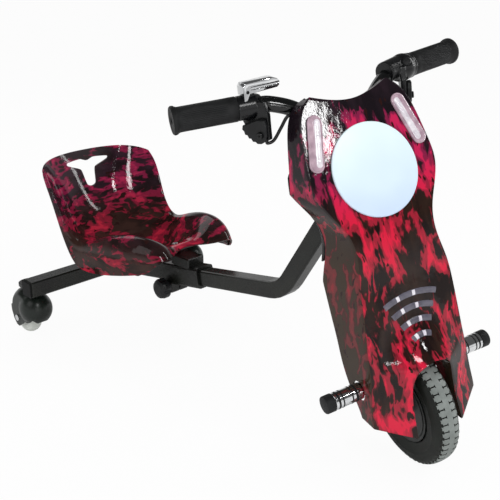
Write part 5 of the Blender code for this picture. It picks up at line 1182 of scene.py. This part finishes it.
def make_studio():
    """Pale floor, white surroundings, soft lamps and the camera of the photograph."""
    world = bpy.data.worlds.new("studio")
    SCENE.world = world
    world.use_nodes = True
    tree = world.node_tree
    tree.nodes.clear()
    rays = node(tree, "LightPath").outputs
    seen = maths(tree, "MAXIMUM", rays["Is Camera Ray"], rays["Is Glossy Ray"])
    seen = maths(tree, "MAXIMUM", seen, rays["Is Transmission Ray"])
    # Mirrored rays see white walls near the horizon and a dim ceiling
    up = node(tree, "SeparateXYZ", {0: node(tree, "TexCoord").outputs["Generated"]}).outputs["Z"]
    room = remap(tree, up, 0.10, 0.34, 1.0, CEILING)
    room = node(tree, "Mix", {0: rays["Is Camera Ray"], 2: room, 3: 1.0}).outputs[0]
    strength = node(tree, "Mix", {0: seen, 2: WORLD_LIGHT, 3: room}).outputs[0]
    node(tree, "OutputWorld", {0: node(tree, "Background", {0: WHITE, 1: strength}).outputs[0]})

    corners = [(x * FLOOR_HALF, y * FLOOR_HALF, 0) for x, y in ((-1, -1), (1, -1), (1, 1), (-1, 1))]
    floor = piece("studio_floor", corners, [(0, 1, 2, 3)], "abs")
    paper, tree, shader = blank("white_paper_floor", Roughness=0.9)
    place = node(tree, "TexCoord").outputs["Object"]
    feed(tree, shader, Base_Color=mottle(tree, place, 3.0, 2.0, "#F4F4F4", "#F8F8F8", 0.2))
    glow = node(tree, "Emission", {0: WHITE, 1: 1.0}).outputs[0]
    share = maths(tree, "MULTIPLY", node(tree, "LightPath").outputs["Is Camera Ray"], FLOOR_GLOW)
    mixed = node(tree, "MixShader", {0: share, 1: shader.outputs[0], 2: glow}).outputs[0]
    tree.links.new(mixed, tree.nodes["Material Output"].inputs[0])
    floor.data.materials[0] = paper
    floor.location.z = -FLOOR_DROP

    for name, place, aim, width, height, power in LAMPS:
        data = bpy.data.lights.new(name, "AREA")
        data.shape = "RECTANGLE"
        data.size = width
        data.size_y = height
        data.energy = power
        in_scene(name, data, place, Vector(place) - Vector(aim))

    level = cos(CAMERA_ELEVATION)
    back = Vector((sin(CAMERA_AZIMUTH) * level, -cos(CAMERA_AZIMUTH) * level, sin(CAMERA_ELEVATION)))
    data = bpy.data.cameras.new("photo_camera")
    data.sensor_width = 36.0
    data.lens = CAMERA_LENS
    data.clip_start = 0.05
    SCENE.camera = in_scene("photo_camera", data, MACHINE @ CAMERA_AT, back)
    SCENE.view_settings.view_transform = "Standard"


make_studio()
make_arcs(make_shroud())
make_disc()
make_lamps()
make_seat()
make_tyre()
make_pegs()
make_bar()
make_grips()
make_housings()
make_thumb_paddle()
make_casters()
make_cables()
dress_frame()
